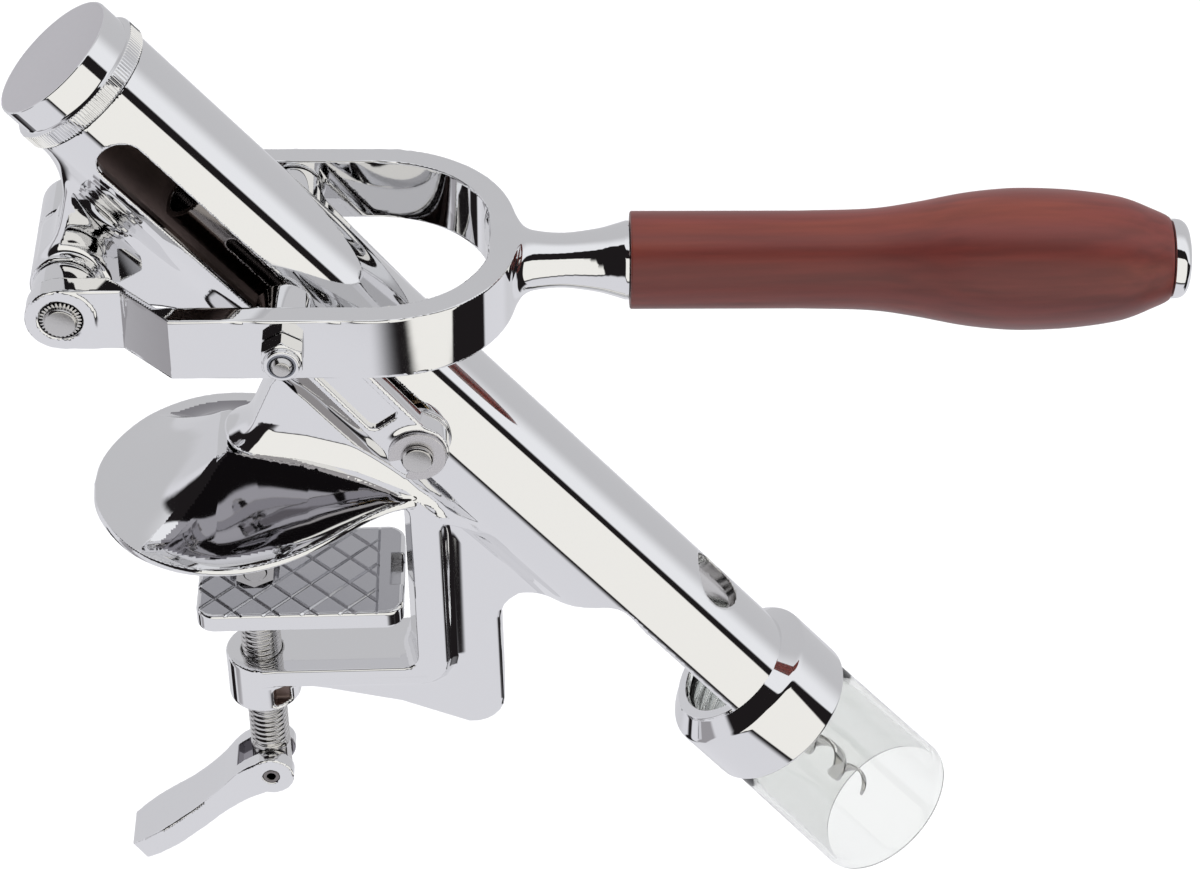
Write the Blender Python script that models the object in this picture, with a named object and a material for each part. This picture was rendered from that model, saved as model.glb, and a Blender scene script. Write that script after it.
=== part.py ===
"""Lever corkscrew that clamps to the edge of a bar top.

World frame: the origin is on the clamp screw's axis, in the plane of the saddle's flat underside, where
the tool rests on the bar top.  +X points along the lever towards its grip, +Z is up, and the whole tool is
symmetric about the XZ plane apart from the small spacer at the rear hinge.  All lengths below are in
millimetres and are scaled to metres when a mesh is made.

Two local frames carry most of the parts.  The barrel frame has its Z along the barrel from the cap to the
bell, and its X square to that, upwards.  The lever frame has its origin on the rear hinge and its X along
the lever.
"""

from math import cos, pi, radians, sin, tau

import bmesh
import bpy
from mathutils import Matrix, Vector

MM = 0.001
GAP = 0.3
ROUND = 24

# Barrel: stations run from the outer face of the cap.
BARREL_TOP = Vector((-37.2, 0.0, 137.0))
BARREL_SLOPE = radians(51.2)
BARREL_R = 18.25
BORE_R = 15.0
CAP_END = 12.1
SLOT_HALF = 6.0
SLOT_FIRST = 26.0
SLOT_LAST = 135.0
COLLAR_START = 261.0
COLLAR_R = 22.9
COLLAR_END = 289.0
BELL_THREAD_START = 267.6
BELL_END = 337.3
CORK_EXIT = (204.0, 219.0)
TOP_HOLE = (238.0, 8.5)

# Lever and links.
LEVER_DROOP = radians(-1.45)
HINGE = Vector((-39.5, 0.0, 75.2))
CRANK = 55.7
BAND_HALF_HEIGHT = 9.0
BAND_OUT = 36.9
BAND_IN = 31.1
BAND_BEND = 76.9
HUB_OUT = 24.6
HUB_IN = 18.8
LUG_HALF = 10.7
HINGE_PIN_R = 4.7
PIN_BLADE_HALF = 1.2
LINK_IN = 21.0
LINK_OUT = 27.0
LINK_BOSS_OUT = 30.6
LINK_EYE_R = 7.6
PIN_STATION = 135.0
PIN_R = 4.0
FERRULE_END = 142.2
GRIP_END = 282.6

# Parts inside the barrel.
SLEEVE = (50.0, 213.0)
SLEEVE_R = 10.0
SLEEVE_BORE_R = 8.4
WORM_PITCH = 12.0
WORM_START = 204.0
WORM_TIP = 330.0
WORM_WIRE = 1.5
WORM_COIL_R = 3.3

# Clamp.
THROAT_X = 43.6
ARM_TOP = -58.5
ARM_BOTTOM = -64.5
BOSS_BOTTOM = -74.5
BAND_HALF = 10.5
RIB_HALF = 6.0
NECK_HALF = 11.0
PLATE_TOP = -31.0
PLATE_THICK = 5.8
SCREW_R = 5.5
WING_PIVOT = Vector((0.0, 0.0, -101.0))


# ---------------------------------------------------------------- frames

def frame_matrix(origin, x_axis, y_axis, z_axis):
    """A placement from an origin in millimetres and three unit axes."""
    rotation = Matrix((x_axis, y_axis, z_axis)).transposed().to_4x4()
    return Matrix.Translation(origin * MM) @ rotation


ALONG = Vector((cos(BARREL_SLOPE), 0.0, -sin(BARREL_SLOPE)))
ABOVE = Vector((sin(BARREL_SLOPE), 0.0, cos(BARREL_SLOPE)))
LEVER_X = Vector((cos(LEVER_DROOP), 0.0, sin(LEVER_DROOP)))
LEVER_Z = Vector((-sin(LEVER_DROOP), 0.0, cos(LEVER_DROOP)))
ACROSS = Vector((0.0, 1.0, 0.0))
BARREL = frame_matrix(BARREL_TOP, ABOVE, -ACROSS, ALONG)
LEVER = frame_matrix(HINGE, LEVER_X, ACROSS, LEVER_Z)
WORLD = Matrix.Identity(4)


def on_barrel(station, height):
    """World X and Z of a point in the mirror plane, at a station and a height over the barrel's axis."""
    point = BARREL_TOP + ALONG * station + ABOVE * height
    return (point.x, point.z)


CRANK_PIN = HINGE + LEVER_X * CRANK
LINK_PIN = BARREL_TOP + ALONG * PIN_STATION
LINK_LENGTH = (LINK_PIN - CRANK_PIN).length
LINK_X = (LINK_PIN - CRANK_PIN).normalized()
LINK_Z = LINK_X.cross(ACROSS)
LINK = frame_matrix(CRANK_PIN, LINK_X, ACROSS, LINK_Z)


# ---------------------------------------------------------------- outlines

def arc(centre, radius, start, end, steps):
    """Points on an arc, from one angle to another in degrees."""
    angles = [radians(start + (end - start) * i / steps) for i in range(steps + 1)]
    return [(centre[0] + radius * cos(a), centre[1] + radius * sin(a)) for a in angles]


def stadium(first, last, half, steps=10):
    """A slot outline along the first axis, with round ends."""
    return arc((last, 0.0), half, -90, 90, steps) + arc((first, 0.0), half, 90, 270, steps)


def polygon_ring(sides, flat_radius, count):
    """A regular polygon sampled at evenly spaced angles, by its flat-to-centre distance."""
    points = []
    for i in range(count):
        angle = tau * i / count
        off_flat = (angle + pi / sides) % (tau / sides) - pi / sides
        points.append((flat_radius / cos(off_flat) * cos(angle), flat_radius / cos(off_flat) * sin(angle)))
    return points


def circle_ring(radius, count, first=0.0):
    """A circle with the given number of points; first shifts them by a part of one step."""
    angles = [tau * (i + first) / count for i in range(count)]
    return [(radius * cos(a), radius * sin(a)) for a in angles]


# ---------------------------------------------------------------- solids

def finish(bm, name, placement, smooth_angle=35.0):
    """Turn a bmesh in millimetres into a placed object with outward faces."""
    bmesh.ops.scale(bm, vec=(MM, MM, MM), verts=bm.verts)
    bmesh.ops.remove_doubles(bm, verts=bm.verts, dist=1e-6)
    bmesh.ops.recalc_face_normals(bm, faces=bm.faces)
    mesh = bpy.data.meshes.new(name)
    bm.to_mesh(mesh)
    bm.free()
    mesh.shade_smooth()
    mesh.set_sharp_from_angle(angle=radians(smooth_angle))
    obj = bpy.data.objects.new(name, mesh)
    bpy.context.scene.collection.objects.link(obj)
    obj.matrix_world = placement
    return obj


def loft(name, rings, placement=WORLD, closed_tube=False):
    """Join rings of 3-D points into one closed solid; closed_tube joins the last ring to the first."""
    bm = bmesh.new()
    loops = [[bm.verts.new(point) for point in ring] for ring in rings]
    pairs = list(zip(loops[:-1], loops[1:]))
    if closed_tube:
        pairs.append((loops[-1], loops[0]))
    for lower, upper in pairs:
        count = len(lower)
        for i in range(count):
            j = (i + 1) % count
            bm.faces.new((lower[i], lower[j], upper[j], upper[i]))
    if not closed_tube:
        bm.faces.new(list(reversed(loops[0])))
        bm.faces.new(loops[-1])
    return finish(bm, name, placement)


def turned(name, profile, placement=WORLD, count=ROUND):
    """A solid of revolution about local Z from (radius, height) points, solid where the radius is 0."""
    solid = profile[0][0] == 0.0
    body = profile[1:-1] if solid else profile
    rings = [[(x, y, z) for x, y in circle_ring(r, count, 0.5)] for r, z in body]
    return loft(name, rings, placement, closed_tube=not solid)


def extruded(name, outline, half, placement=WORLD, centre=0.0):
    """A plate: an outline in local XZ, taken half a thickness each way along local Y."""
    rings = [[(x, centre + side * half, z) for x, z in outline] for side in (-1.0, 1.0)]
    return loft(name, rings, placement)


def slab(name, outline, low, high, placement=WORLD):
    """A plate: an outline in local XY between two heights."""
    return loft(name, [[(x, y, z) for x, y in outline] for z in (low, high)], placement)


def rod(name, start, end, radius, placement=WORLD, count=ROUND):
    """A cylinder between two points."""
    start, end = Vector(start), Vector(end)
    turn = (end - start).to_track_quat('Z', 'Y').to_matrix().to_4x4()
    place = placement @ Matrix.Translation(start * MM) @ turn
    length = (end - start).length
    return turned(name, [(0.0, 0.0), (radius, 0.0), (radius, length), (0.0, length)], place, count)


def apply_tool(target, tool, operation):
    """Add or remove a tool body from a target, and keep the tool only as a hidden guide."""
    step = target.modifiers.new(tool.name, 'BOOLEAN')
    step.operation = operation
    step.solver = 'EXACT'
    step.object = tool
    tool.hide_render = True
    tool.display_type = 'WIRE'


def add(target, *tools):
    for tool in tools:
        apply_tool(target, tool, 'UNION')


def cut(target, *tools):
    for tool in tools:
        apply_tool(target, tool, 'DIFFERENCE')


# ---------------------------------------------------------------- materials

def material(name, colour, roughness, metallic, alpha=1.0):
    mat = bpy.data.materials.new(name)
    mat.use_nodes = True
    shader = mat.node_tree.nodes['Principled BSDF']
    shader.inputs['Base Color'].default_value = (*colour, 1.0)
    shader.inputs['Roughness'].default_value = roughness
    shader.inputs['Metallic'].default_value = metallic
    shader.inputs['Alpha'].default_value = alpha
    return mat


CHROME = ((0.78, 0.79, 0.80), 0.08, 1.0)
SATIN_STEEL = ((0.62, 0.62, 0.63), 0.28, 1.0)
BRASS = ((0.72, 0.55, 0.26), 0.3, 1.0)
WOOD = ((0.24, 0.065, 0.04), 0.4, 0.0)
CLEAR = ((0.93, 0.95, 0.94), 0.05, 0.0)
RUBBER = ((0.03, 0.03, 0.03), 0.7, 0.0)


def own_material(obj, look, alpha=1.0):
    obj.data.materials.append(material(obj.name, *look, alpha=alpha))
    return obj


# ---------------------------------------------------------------- frame casting

def saddle_outline(scale_x, scale_y, shift, height, steps=6):
    """The pear-shaped rim of the saddle, scaled about its centre and placed at a height."""
    rear = arc((0.0, 0.0), 40.4, 180, 262, steps)
    flank = [(8.0, -35.4), (15.6, -31.2), (22.5, -26.0), (29.0, -20.6), (35.0, -16.0), (42.0, -13.0)]
    half = rear[1:] + flank
    other = [(x, -y) for x, y in reversed(half)]
    outline = [rear[0]] + half + other
    return [(shift + (x - shift) * scale_x, y * scale_y, height) for x, y in outline]


def make_saddle():
    """The flat-bottomed flange on the bar top, with a hollowed cone rising to the neck."""
    rings = [
        saddle_outline(1.0, 1.0, 0.0, 0.0),
        saddle_outline(1.0, 1.0, 0.0, 1.6),
        saddle_outline(0.94, 0.94, 0.0, 3.2),
        saddle_outline(0.72, 0.66, 0.0, 6.4),
        saddle_outline(0.5, 0.42, 0.0, 10.6),
        saddle_outline(0.3, 0.24, 0.0, 16.0),
    ]
    return loft('saddle_tool', rings)


def make_frame_casting():
    """Barrel, collar, hinge lug, web, saddle and clamp frame, cast in one piece."""
    outer = [(0.0, CAP_END + GAP), (BARREL_R, CAP_END + GAP), (BARREL_R, COLLAR_START),
             (20.8, COLLAR_START + 2.4), (22.4, COLLAR_START + 5.2), (COLLAR_R, COLLAR_START + 8.8),
             (COLLAR_R, COLLAR_END - 1.0), (COLLAR_R - 0.7, COLLAR_END), (0.0, COLLAR_END)]
    body = turned('frame_casting', outer, BARREL, 40)

    lug_web = [(21.0, -10.0), (21.0, -17.6), (27.0, -22.5), (33.0, -30.0), (37.8, -40.5), (60.4, -40.5),
               (64.8, -33.2), (71.5, -27.2), (81.0, -22.0), (96.0, -17.5), (96.0, -10.0)]
    lug_plate = extruded('lug_web_tool', [on_barrel(s, n) for s, n in lug_web], 8.2)
    lug = rod('lug_tool', HINGE - ACROSS * LUG_HALF, HINGE + ACROSS * LUG_HALF, BAND_HALF_HEIGHT)

    neck_edge = [(7.6, 40.0), (5.4, 33.0), (1.2, 26.0), (-4.7, 19.0)]
    ridge = [(15.3, 13.5), (30.0, 9.8), (38.0, 6.0), (44.0, -1.0), (51.7, -14.0), (58.0, -22.0)]
    neck = extruded('neck_tool', [on_barrel(94.0, -9.0)] + neck_edge + ridge
                    + [on_barrel(192.0, -17.0), on_barrel(192.0, -9.0)], NECK_HALF)

    heel = arc((57.8, -74.6), 9.0, 255, 360, 6)
    rib_outline = ([on_barrel(100.0, -5.0), (6.0, 34.0), (-3.0, 16.0), (-12.0, 8.0), (-12.0, 1.0), (46.0, 1.0),
                    (46.0, -61.0), (4.0, -61.0), (4.0, -68.0), (12.0, -68.4), (38.0, -75.2)]
                   + heel + arc((74.8, -46.0), 8.0, 180, 90, 5)
                   + [(83.0, -38.4), on_barrel(219.0, -9.0), on_barrel(222.0, -5.0)])
    rib = extruded('rib_tool', rib_outline, RIB_HALF)

    throat_top = arc((THROAT_X - 4.0, -4.0), 4.0, 90, 0, 4)
    throat_foot = arc((THROAT_X - 4.0, ARM_TOP + 4.0), 4.0, 0, -90, 4)
    back = arc((43.7, -56.5), 8.0, -90, 0, 4) + arc((43.7, -5.6), 8.0, 0, 90, 4)
    band = extruded('clamp_band_tool', [(34.0, 2.4), (34.0, 0.4), (39.0, 0.4)] + throat_top + throat_foot
                    + [(0.0, ARM_TOP), (0.0, ARM_BOTTOM)] + back, BAND_HALF)
    boss = rod('boss_tool', (0.0, 0.0, BOSS_BOTTOM), (0.0, 0.0, ARM_TOP + GAP), 10.0)
    add(body, lug_plate, lug, rib, neck, band, boss, make_saddle())

    bore = turned('bore_tool', [(0.0, 11.0), (BORE_R, 11.0), (BORE_R, BELL_THREAD_START),
                                (20.4, BELL_THREAD_START), (20.4, 290.0), (0.0, 290.0)], BARREL, 40)
    slot = extruded('slot_tool', [on_barrel(s, n) for s, n in stadium(SLOT_FIRST, SLOT_LAST, SLOT_HALF)], 22.0)
    start, full = CORK_EXIT
    exit_edge = [(start, -21.9), (start + 3.6, -14.7), (start + 7.3, -7.4), (start + 10.7, -2.1), (full, 0.9),
                 (COLLAR_START + 0.4, 1.7), (COLLAR_START + 0.4, -32.0), (start, -32.0)]
    cork_exit = extruded('cork_exit_tool', [on_barrel(s, n) for s, n in exit_edge], 24.0)
    hole_s, hole_r = TOP_HOLE
    hole = rod('top_hole_tool', (8.0, 0.0, hole_s), (24.0, 0.0, hole_s), hole_r, BARREL, 26)
    thread = rod('screw_hole_tool', (0.0, 0.0, BOSS_BOTTOM - 2.0), (0.0, 0.0, ARM_TOP + 2.0), SCREW_R + GAP)
    hinge = rod('hinge_hole_tool', HINGE - ACROSS * 20.0, HINGE + ACROSS * 20.0, HINGE_PIN_R + GAP)
    cut(body, bore, slot, cork_exit, hole, thread, hinge)
    return own_material(body, CHROME)


# ---------------------------------------------------------------- barrel fittings

def make_end_cap():
    """Screw cap with a knurled edge and a hollow underside."""
    flutes = 30
    count = flutes * 2

    def ring(radius, station, depth=0.0):
        radii = [radius - depth * (i % 2) for i in range(count)]
        return [(r * cos(tau * i / count), r * sin(tau * i / count), station) for i, r in enumerate(radii)]

    rings = [ring(16.9, 0.0), ring(17.7, 0.7), ring(17.9, 7.0), ring(19.1, 7.5, 0.35),
             ring(19.1, CAP_END - 0.3, 0.35), ring(18.3, CAP_END), ring(BORE_R - GAP, CAP_END),
             ring(BORE_R - GAP, 14.2), ring(13.4, 14.2), ring(13.4, 2.6)]
    return own_material(loft('end_cap', rings, BARREL), CHROME)


def make_bell():
    """Clear bell that takes the neck of the bottle, screwed into the collar."""
    profile = [(20.1, 269.6), (20.1, COLLAR_END + GAP), (21.3, COLLAR_END + GAP), (22.2, BELL_END),
               (20.6, BELL_END), (19.4, 292.0), (18.0, 287.0), (18.0, 269.6)]
    return own_material(turned('bell', profile, BARREL, 32), CLEAR, alpha=0.3)


def make_bell_gasket():
    """Ring that the bottle's lip presses on."""
    start = BELL_THREAD_START + GAP
    profile = [(15.2, start), (20.1, start), (20.1, start + 1.4), (15.2, start + 1.4)]
    return own_material(turned('bell_gasket', profile, BARREL), RUBBER)


def make_sleeve():
    """Stop sleeve: carries the worm nut, and its slots let the cross pin pass."""
    first, last = SLEEVE
    profile = [(SLEEVE_BORE_R, first), (SLEEVE_R, first), (SLEEVE_R, last), (SLEEVE_BORE_R, last)]
    body = turned('stop_sleeve', profile, BARREL)
    half = PIN_BLADE_HALF + 0.4
    window = [on_barrel(s, n) for s, n in stadium(first + 13.0 + half, PIN_STATION + 6.1 - half, half)]
    cut(body, extruded('sleeve_slot_tool', window, 14.0))
    return own_material(body, SATIN_STEEL)


def make_worm_nut():
    """Flanged nut at the sleeve's foot, which the worm turns through."""
    shoulder = SLEEVE[1] + GAP
    profile = [(5.3, 206.0), (SLEEVE_BORE_R - GAP, 206.0), (SLEEVE_BORE_R - GAP, shoulder), (9.9, shoulder),
               (9.9, 218.6), (9.0, 219.4), (5.3, 219.4)]
    return own_material(turned('worm_nut', profile, BARREL), BRASS)


def make_carriage():
    """Ring that slides in the bore round the sleeve, drilled for the cross pin."""
    profile = [(10.4, 124.0), (14.1, 124.0), (14.7, 124.8), (14.7, 146.2), (14.1, 147.0), (10.4, 147.0)]
    body = turned('carriage', profile, BARREL)
    cut(body, rod('carriage_pin_tool', (0.0, -18.0, PIN_STATION), (0.0, 18.0, PIN_STATION), PIN_R + 0.25, BARREL))
    return own_material(body, SATIN_STEEL)


def make_cross_pin():
    """Pin from slot to slot, its middle flattened to a blade that passes the sleeve's narrow slots."""
    body = rod('cross_pin', (0.0, -17.9, PIN_STATION), (0.0, 17.9, PIN_STATION), PIN_R, BARREL, 24)
    for name, side in (('above', 1.0), ('below', -1.0)):
        flat = [on_barrel(PIN_STATION + ds, side * n) for ds, n in
                ((-6.0, PIN_BLADE_HALF), (6.0, PIN_BLADE_HALF), (6.0, 6.0), (-6.0, 6.0))]
        cut(body, extruded('pin_flat_' + name + '_tool', flat[::int(side)], 10.35))
    return own_material(body, SATIN_STEEL)


def make_slot_bush(name, side):
    """Bush on the cross pin that runs in one slot of the barrel."""
    turn = Matrix.Translation(Vector((0.0, side * 15.1, PIN_STATION)) * MM) @ Matrix.Rotation(-side * pi / 2, 4, 'X')
    profile = [(PIN_R + 0.25, 0.0), (SLOT_HALF - 0.4, 0.0), (SLOT_HALF - 0.4, 2.7), (PIN_R + 0.25, 2.7)]
    return own_material(turned(name, profile, BARREL @ turn, 28), BRASS)


def make_swivel_block():
    """Block on the cross pin; the worm's head turns in its window."""
    body = turned('swivel_block', [(0.0, 128.0), (8.0, 128.0), (8.0, 157.0), (0.0, 157.0)], BARREL)
    pin_hole = rod('block_pin_tool', (0.0, -12.0, PIN_STATION), (0.0, 12.0, PIN_STATION), PIN_R + 0.25, BARREL)
    window = slab('block_window_tool', [(-12.0, -5.8), (12.0, -5.8), (12.0, 5.8), (-12.0, 5.8)],
                  142.0, 151.0, BARREL)
    bore = rod('block_bore_tool', (0.0, 0.0, 150.0), (0.0, 0.0, 160.0), 4.3, BARREL)
    cut(body, pin_hole, window, bore)
    return own_material(body, SATIN_STEEL)


def make_thrust_washer():
    profile = [(3.3, 149.0), (5.4, 149.0), (5.4, 150.7), (3.3, 150.7)]
    return own_material(turned('thrust_washer', profile, BARREL, 24), BRASS)


def make_shank_nut():
    """Hexagon nut that holds the worm's shank in the block."""
    count = 24
    outer = polygon_ring(6, 4.5, count)
    inner = circle_ring(3.3, count)
    levels = [(outer, 143.2), (outer, 148.7), (inner, 148.7), (inner, 143.2)]
    rings = [[(x, y, z) for x, y in ring] for ring, z in levels]
    return own_material(loft('shank_nut', rings, BARREL, closed_tube=True), SATIN_STEEL)


def worm_point(station):
    """Centre of the worm's wire at a station, and the wire's radius there."""
    turn = tau * (station - WORM_START) / WORM_PITCH
    settle = min(1.0, (station - WORM_START) / WORM_PITCH)
    point_left = min(1.0, (WORM_TIP - station) / 9.0)
    coil = WORM_COIL_R * settle * (0.35 + 0.65 * point_left)
    centre = Vector((coil * cos(turn), coil * sin(turn), station))
    return centre, WORM_WIRE * (0.2 + 0.8 * point_left)


def make_worm():
    """Shank with a shouldered head, running into the open helix that enters the cork."""
    shank = [(0.0, 142.6), (3.0, 142.6), (3.0, 151.4), (4.0, 152.0), (4.0, 203.0), (3.0, 206.6), (0.0, 206.6)]
    body = turned('worm', shank, BARREL, 24)
    steps_a_turn = 12
    steps = round((WORM_TIP - WORM_START) / WORM_PITCH * steps_a_turn)
    rings = []
    for i in range(steps + 1):
        station = WORM_START + (WORM_TIP - WORM_START) * i / steps
        centre, wire = worm_point(station)
        before = worm_point(max(WORM_START, station - 0.3))[0]
        after = worm_point(min(WORM_TIP, station + 0.3))[0]
        tangent = (after - before).normalized()
        side = tangent.cross(Vector((0.0, 0.0, 1.0))).normalized() if i else Vector((1.0, 0.0, 0.0))
        up = side.cross(tangent).normalized()
        rings.append([centre + side * x * wire + up * y * wire for x, y in circle_ring(1.0, 6)])
    add(body, loft('worm_helix_tool', rings, BARREL))
    return own_material(body, SATIN_STEEL)


# ---------------------------------------------------------------- lever

def yoke_outline():
    """Plan of the stirrup: outer edge round the bend, then the inner edge back."""
    outer = arc((BAND_BEND, 0.0), BAND_OUT, -90, 90, 20)
    inner = arc((BAND_BEND, 0.0), BAND_IN, 90, -90, 20)
    return ([(0.0, -HUB_OUT), (15.0, -HUB_OUT), (28.0, -BAND_OUT)] + outer
            + [(28.0, BAND_OUT), (15.0, HUB_OUT), (0.0, HUB_OUT), (0.0, HUB_IN), (12.0, HUB_IN), (24.5, BAND_IN)]
            + inner + [(24.5, -BAND_IN), (12.0, -HUB_IN), (0.0, -HUB_IN)])


def make_lever_yoke():
    """Stirrup with two rear hubs, and the waisted ferrule that takes the grip."""
    height = BAND_HALF_HEIGHT
    body = slab('lever_yoke', yoke_outline(), -height, height, LEVER)
    hub_r, proud = height + 0.2, 0.3
    near_hub = rod('near_hub_tool', (0.0, -HUB_OUT - proud, 0.0), (0.0, proud - HUB_IN, 0.0), hub_r, LEVER)
    far_hub = rod('far_hub_tool', (0.0, LUG_HALF + GAP, 0.0), (0.0, HUB_OUT + proud, 0.0), hub_r, LEVER)
    waist = [(109.2, 8.75), (115.6, 8.5), (119.4, 7.5), (126.3, 7.0), (134.5, 8.1), (140.8, 10.0), (FERRULE_END, 10.1)]
    turn = LEVER @ Matrix.Rotation(pi / 2, 4, 'Y')
    ferrule = turned('ferrule_tool', [(0.0, waist[0][0])] + [(r, x) for x, r in waist] + [(0.0, FERRULE_END)], turn)
    add(body, near_hub, far_hub, ferrule)
    pin_hole = rod('yoke_pin_tool', (0.0, -40.0, 0.0), (0.0, 40.0, 0.0), HINGE_PIN_R + GAP, LEVER)
    bolt_hole = rod('yoke_bolt_tool', (CRANK, -40.0, 0.0), (CRANK, 40.0, 0.0), 3.2, LEVER, 24)
    tang_hole = rod('tang_hole_tool', (127.5, 0.0, 0.0), (FERRULE_END + 2.0, 0.0, 0.0), 4.3, LEVER, 24)
    cut(body, pin_hole, bolt_hole, tang_hole)
    return own_material(body, CHROME)


def lever_turned(name, profile, look, count=ROUND):
    """A part turned about the lever's X axis."""
    return own_material(turned(name, profile, LEVER @ Matrix.Rotation(pi / 2, 4, 'Y'), count), look)


def make_grip():
    """Turned wooden grip, drilled for the tang."""
    outside = [(11.7, FERRULE_END + GAP), (12.5, 143.5), (12.5, 186.0), (12.95, 203.6), (14.6, 215.4),
               (16.8, 227.1), (17.9, 236.6), (18.15, 244.8), (17.55, 256.6), (15.7, 268.4), (12.3, 280.1),
               (10.4, GRIP_END)]
    return lever_turned('handle_grip', outside + [(4.3, GRIP_END), (4.3, FERRULE_END + GAP)], WOOD, 28)


def make_tang():
    end = GRIP_END - GAP
    return lever_turned('handle_tang', [(0.0, 128.0), (4.0, 128.0), (4.0, end), (0.0, end)], SATIN_STEEL, 24)


def make_grip_nut():
    """Domed nut that closes the end of the grip."""
    start = GRIP_END + GAP
    dome = [(0.0, start), (9.9, start), (9.9, start + 0.9), (8.9, start + 3.0), (6.4, start + 4.5), (3.2, start + 5.2)]
    return lever_turned('grip_end_nut', dome + [(0.0, start + 5.2)], CHROME)


def make_hinge_pin():
    """Rear hinge pin, knurled at both ends where the hubs hold it."""
    half = HUB_OUT + 1.2
    turn = LEVER @ Matrix.Rotation(pi / 2, 4, 'X')
    profile = [(0.0, -half), (HINGE_PIN_R - 0.5, -half), (HINGE_PIN_R, 0.5 - half), (HINGE_PIN_R, half - 0.5),
               (HINGE_PIN_R - 0.5, half), (0.0, half)]
    return own_material(turned('hinge_pin', profile, turn), SATIN_STEEL)


def make_hinge_spacer():
    """Collar on the hinge pin between the near hub and the lug."""
    turn = LEVER @ Matrix.Rotation(pi / 2, 4, 'X')
    low, high = LUG_HALF + GAP, HUB_IN - 2.0 * GAP
    inner = HINGE_PIN_R + GAP
    return own_material(turned('hinge_spacer', [(inner, low), (8.2, low), (8.2, high), (inner, high)], turn), CHROME)


def side_turn(side):
    """Placement at the crank pin with local Z pointing out of the tool on one side."""
    return LEVER @ Matrix.Translation(Vector((CRANK, 0.0, 0.0)) * MM) @ Matrix.Rotation(-side * pi / 2, 4, 'X')


def make_pivot_bolt(name, side):
    """Shoulder bolt through the yoke's arm and the link's upper eye."""
    profile = [(0.0, 19.5), (5.0, 19.5), (5.3, 19.8), (5.3, 20.7), (2.9, 20.7), (2.9, 43.9), (2.2, 44.7), (0.0, 44.7)]
    return own_material(turned(name, profile, side_turn(side), 24), SATIN_STEEL)


def make_lock_nut(name, side):
    """Locking nut with a round collar, outside the yoke's arm."""
    count = 24
    seat = BAND_OUT + GAP
    hexagon = polygon_ring(6, 5.0, count)
    levels = [(hexagon, seat), (hexagon, seat + 4.6), (circle_ring(4.7, count), seat + 5.2),
              (circle_ring(4.6, count), seat + 6.4), (circle_ring(3.2, count), seat + 6.4),
              (circle_ring(3.2, count), seat)]
    turn = side_turn(side) @ Matrix.Rotation(pi / 6, 4, 'Z')
    rings = [[(x, y, z) for x, y in ring] for ring, z in levels]
    return own_material(loft(name, rings, turn, closed_tube=True), CHROME)


# ---------------------------------------------------------------- links

def make_link(name, side):
    """Connecting link: two eyes, a bar between them and a sunk panel on its outer face."""
    mid = side * (LINK_IN + LINK_OUT) / 2
    half = (LINK_OUT - LINK_IN) / 2
    bar_half = 6.4
    outline = (arc((LINK_LENGTH, 0.0), LINK_EYE_R + 0.4, -52, 52, 10)
               + [(LINK_LENGTH - 11.0, bar_half), (10.0, bar_half)]
               + arc((0.0, 0.0), LINK_EYE_R, 57, 303, 16) + [(10.0, -bar_half), (LINK_LENGTH - 11.0, -bar_half)])
    body = extruded(name, outline, half, LINK, centre=mid)
    boss = rod(name + '_boss_tool', (0.0, side * 19.6, 0.0), (0.0, side * LINK_BOSS_OUT, 0.0), LINK_EYE_R - 0.5, LINK, 32)
    head = rod(name + '_head_tool', (0.0, side * 15.0, 0.0), (0.0, side * 21.3, 0.0), 5.7, LINK, 24)
    panel = [(11.5, -4.2), (LINK_LENGTH - 12.5, -4.2), (LINK_LENGTH - 12.5, 4.2), (11.5, 4.2)]
    sunk = extruded(name + '_panel_tool', panel, 1.4, LINK, centre=side * LINK_OUT)
    upper = rod(name + '_upper_tool', (0.0, side * 15.0, 0.0), (0.0, side * 35.0, 0.0), 3.2, LINK, 24)
    lower = rod(name + '_lower_tool', (LINK_LENGTH, side * 15.0, 0.0), (LINK_LENGTH, side * 35.0, 0.0),
                PIN_R + 0.25, LINK, 24)
    add(body, boss)
    cut(body, sunk, head, upper, lower)
    return own_material(body, CHROME)


def link_end_turn(side):
    """Placement at the links' lower eye with local Z pointing out of the tool on one side."""
    return LINK @ Matrix.Translation(Vector((LINK_LENGTH, 0.0, 0.0)) * MM) @ Matrix.Rotation(-side * pi / 2, 4, 'X')


def make_link_stud(name, side):
    """Stud through a link's lower eye, grooved for its clip; it stops just short of the barrel."""
    profile = [(0.0, 18.7), (PIN_R, 18.7), (PIN_R, 27.5), (3.3, 27.5), (3.3, 29.1), (PIN_R, 29.1),
               (PIN_R, 30.0), (PIN_R - 0.5, 30.5), (0.0, 30.5)]
    return own_material(turned(name, profile, link_end_turn(side), 28), SATIN_STEEL)


def make_link_washer(name, side):
    """Thin washer between a link's lower eye and the barrel."""
    profile = [(PIN_R + 0.3, 19.3), (8.6, 19.3), (8.6, 20.6), (PIN_R + 0.3, 20.6)]
    return own_material(turned(name, profile, link_end_turn(side), 32), CHROME)


def make_clip(name, side):
    """Open retaining clip in the stud's groove."""
    outline = arc((0.0, 0.0), 7.6, -60, 240, 24) + arc((0.0, 0.0), 3.6, 240, -60, 20)
    return own_material(slab(name, outline, 27.7, 28.9, link_end_turn(side)), SATIN_STEEL)


# ---------------------------------------------------------------- clamp

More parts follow.
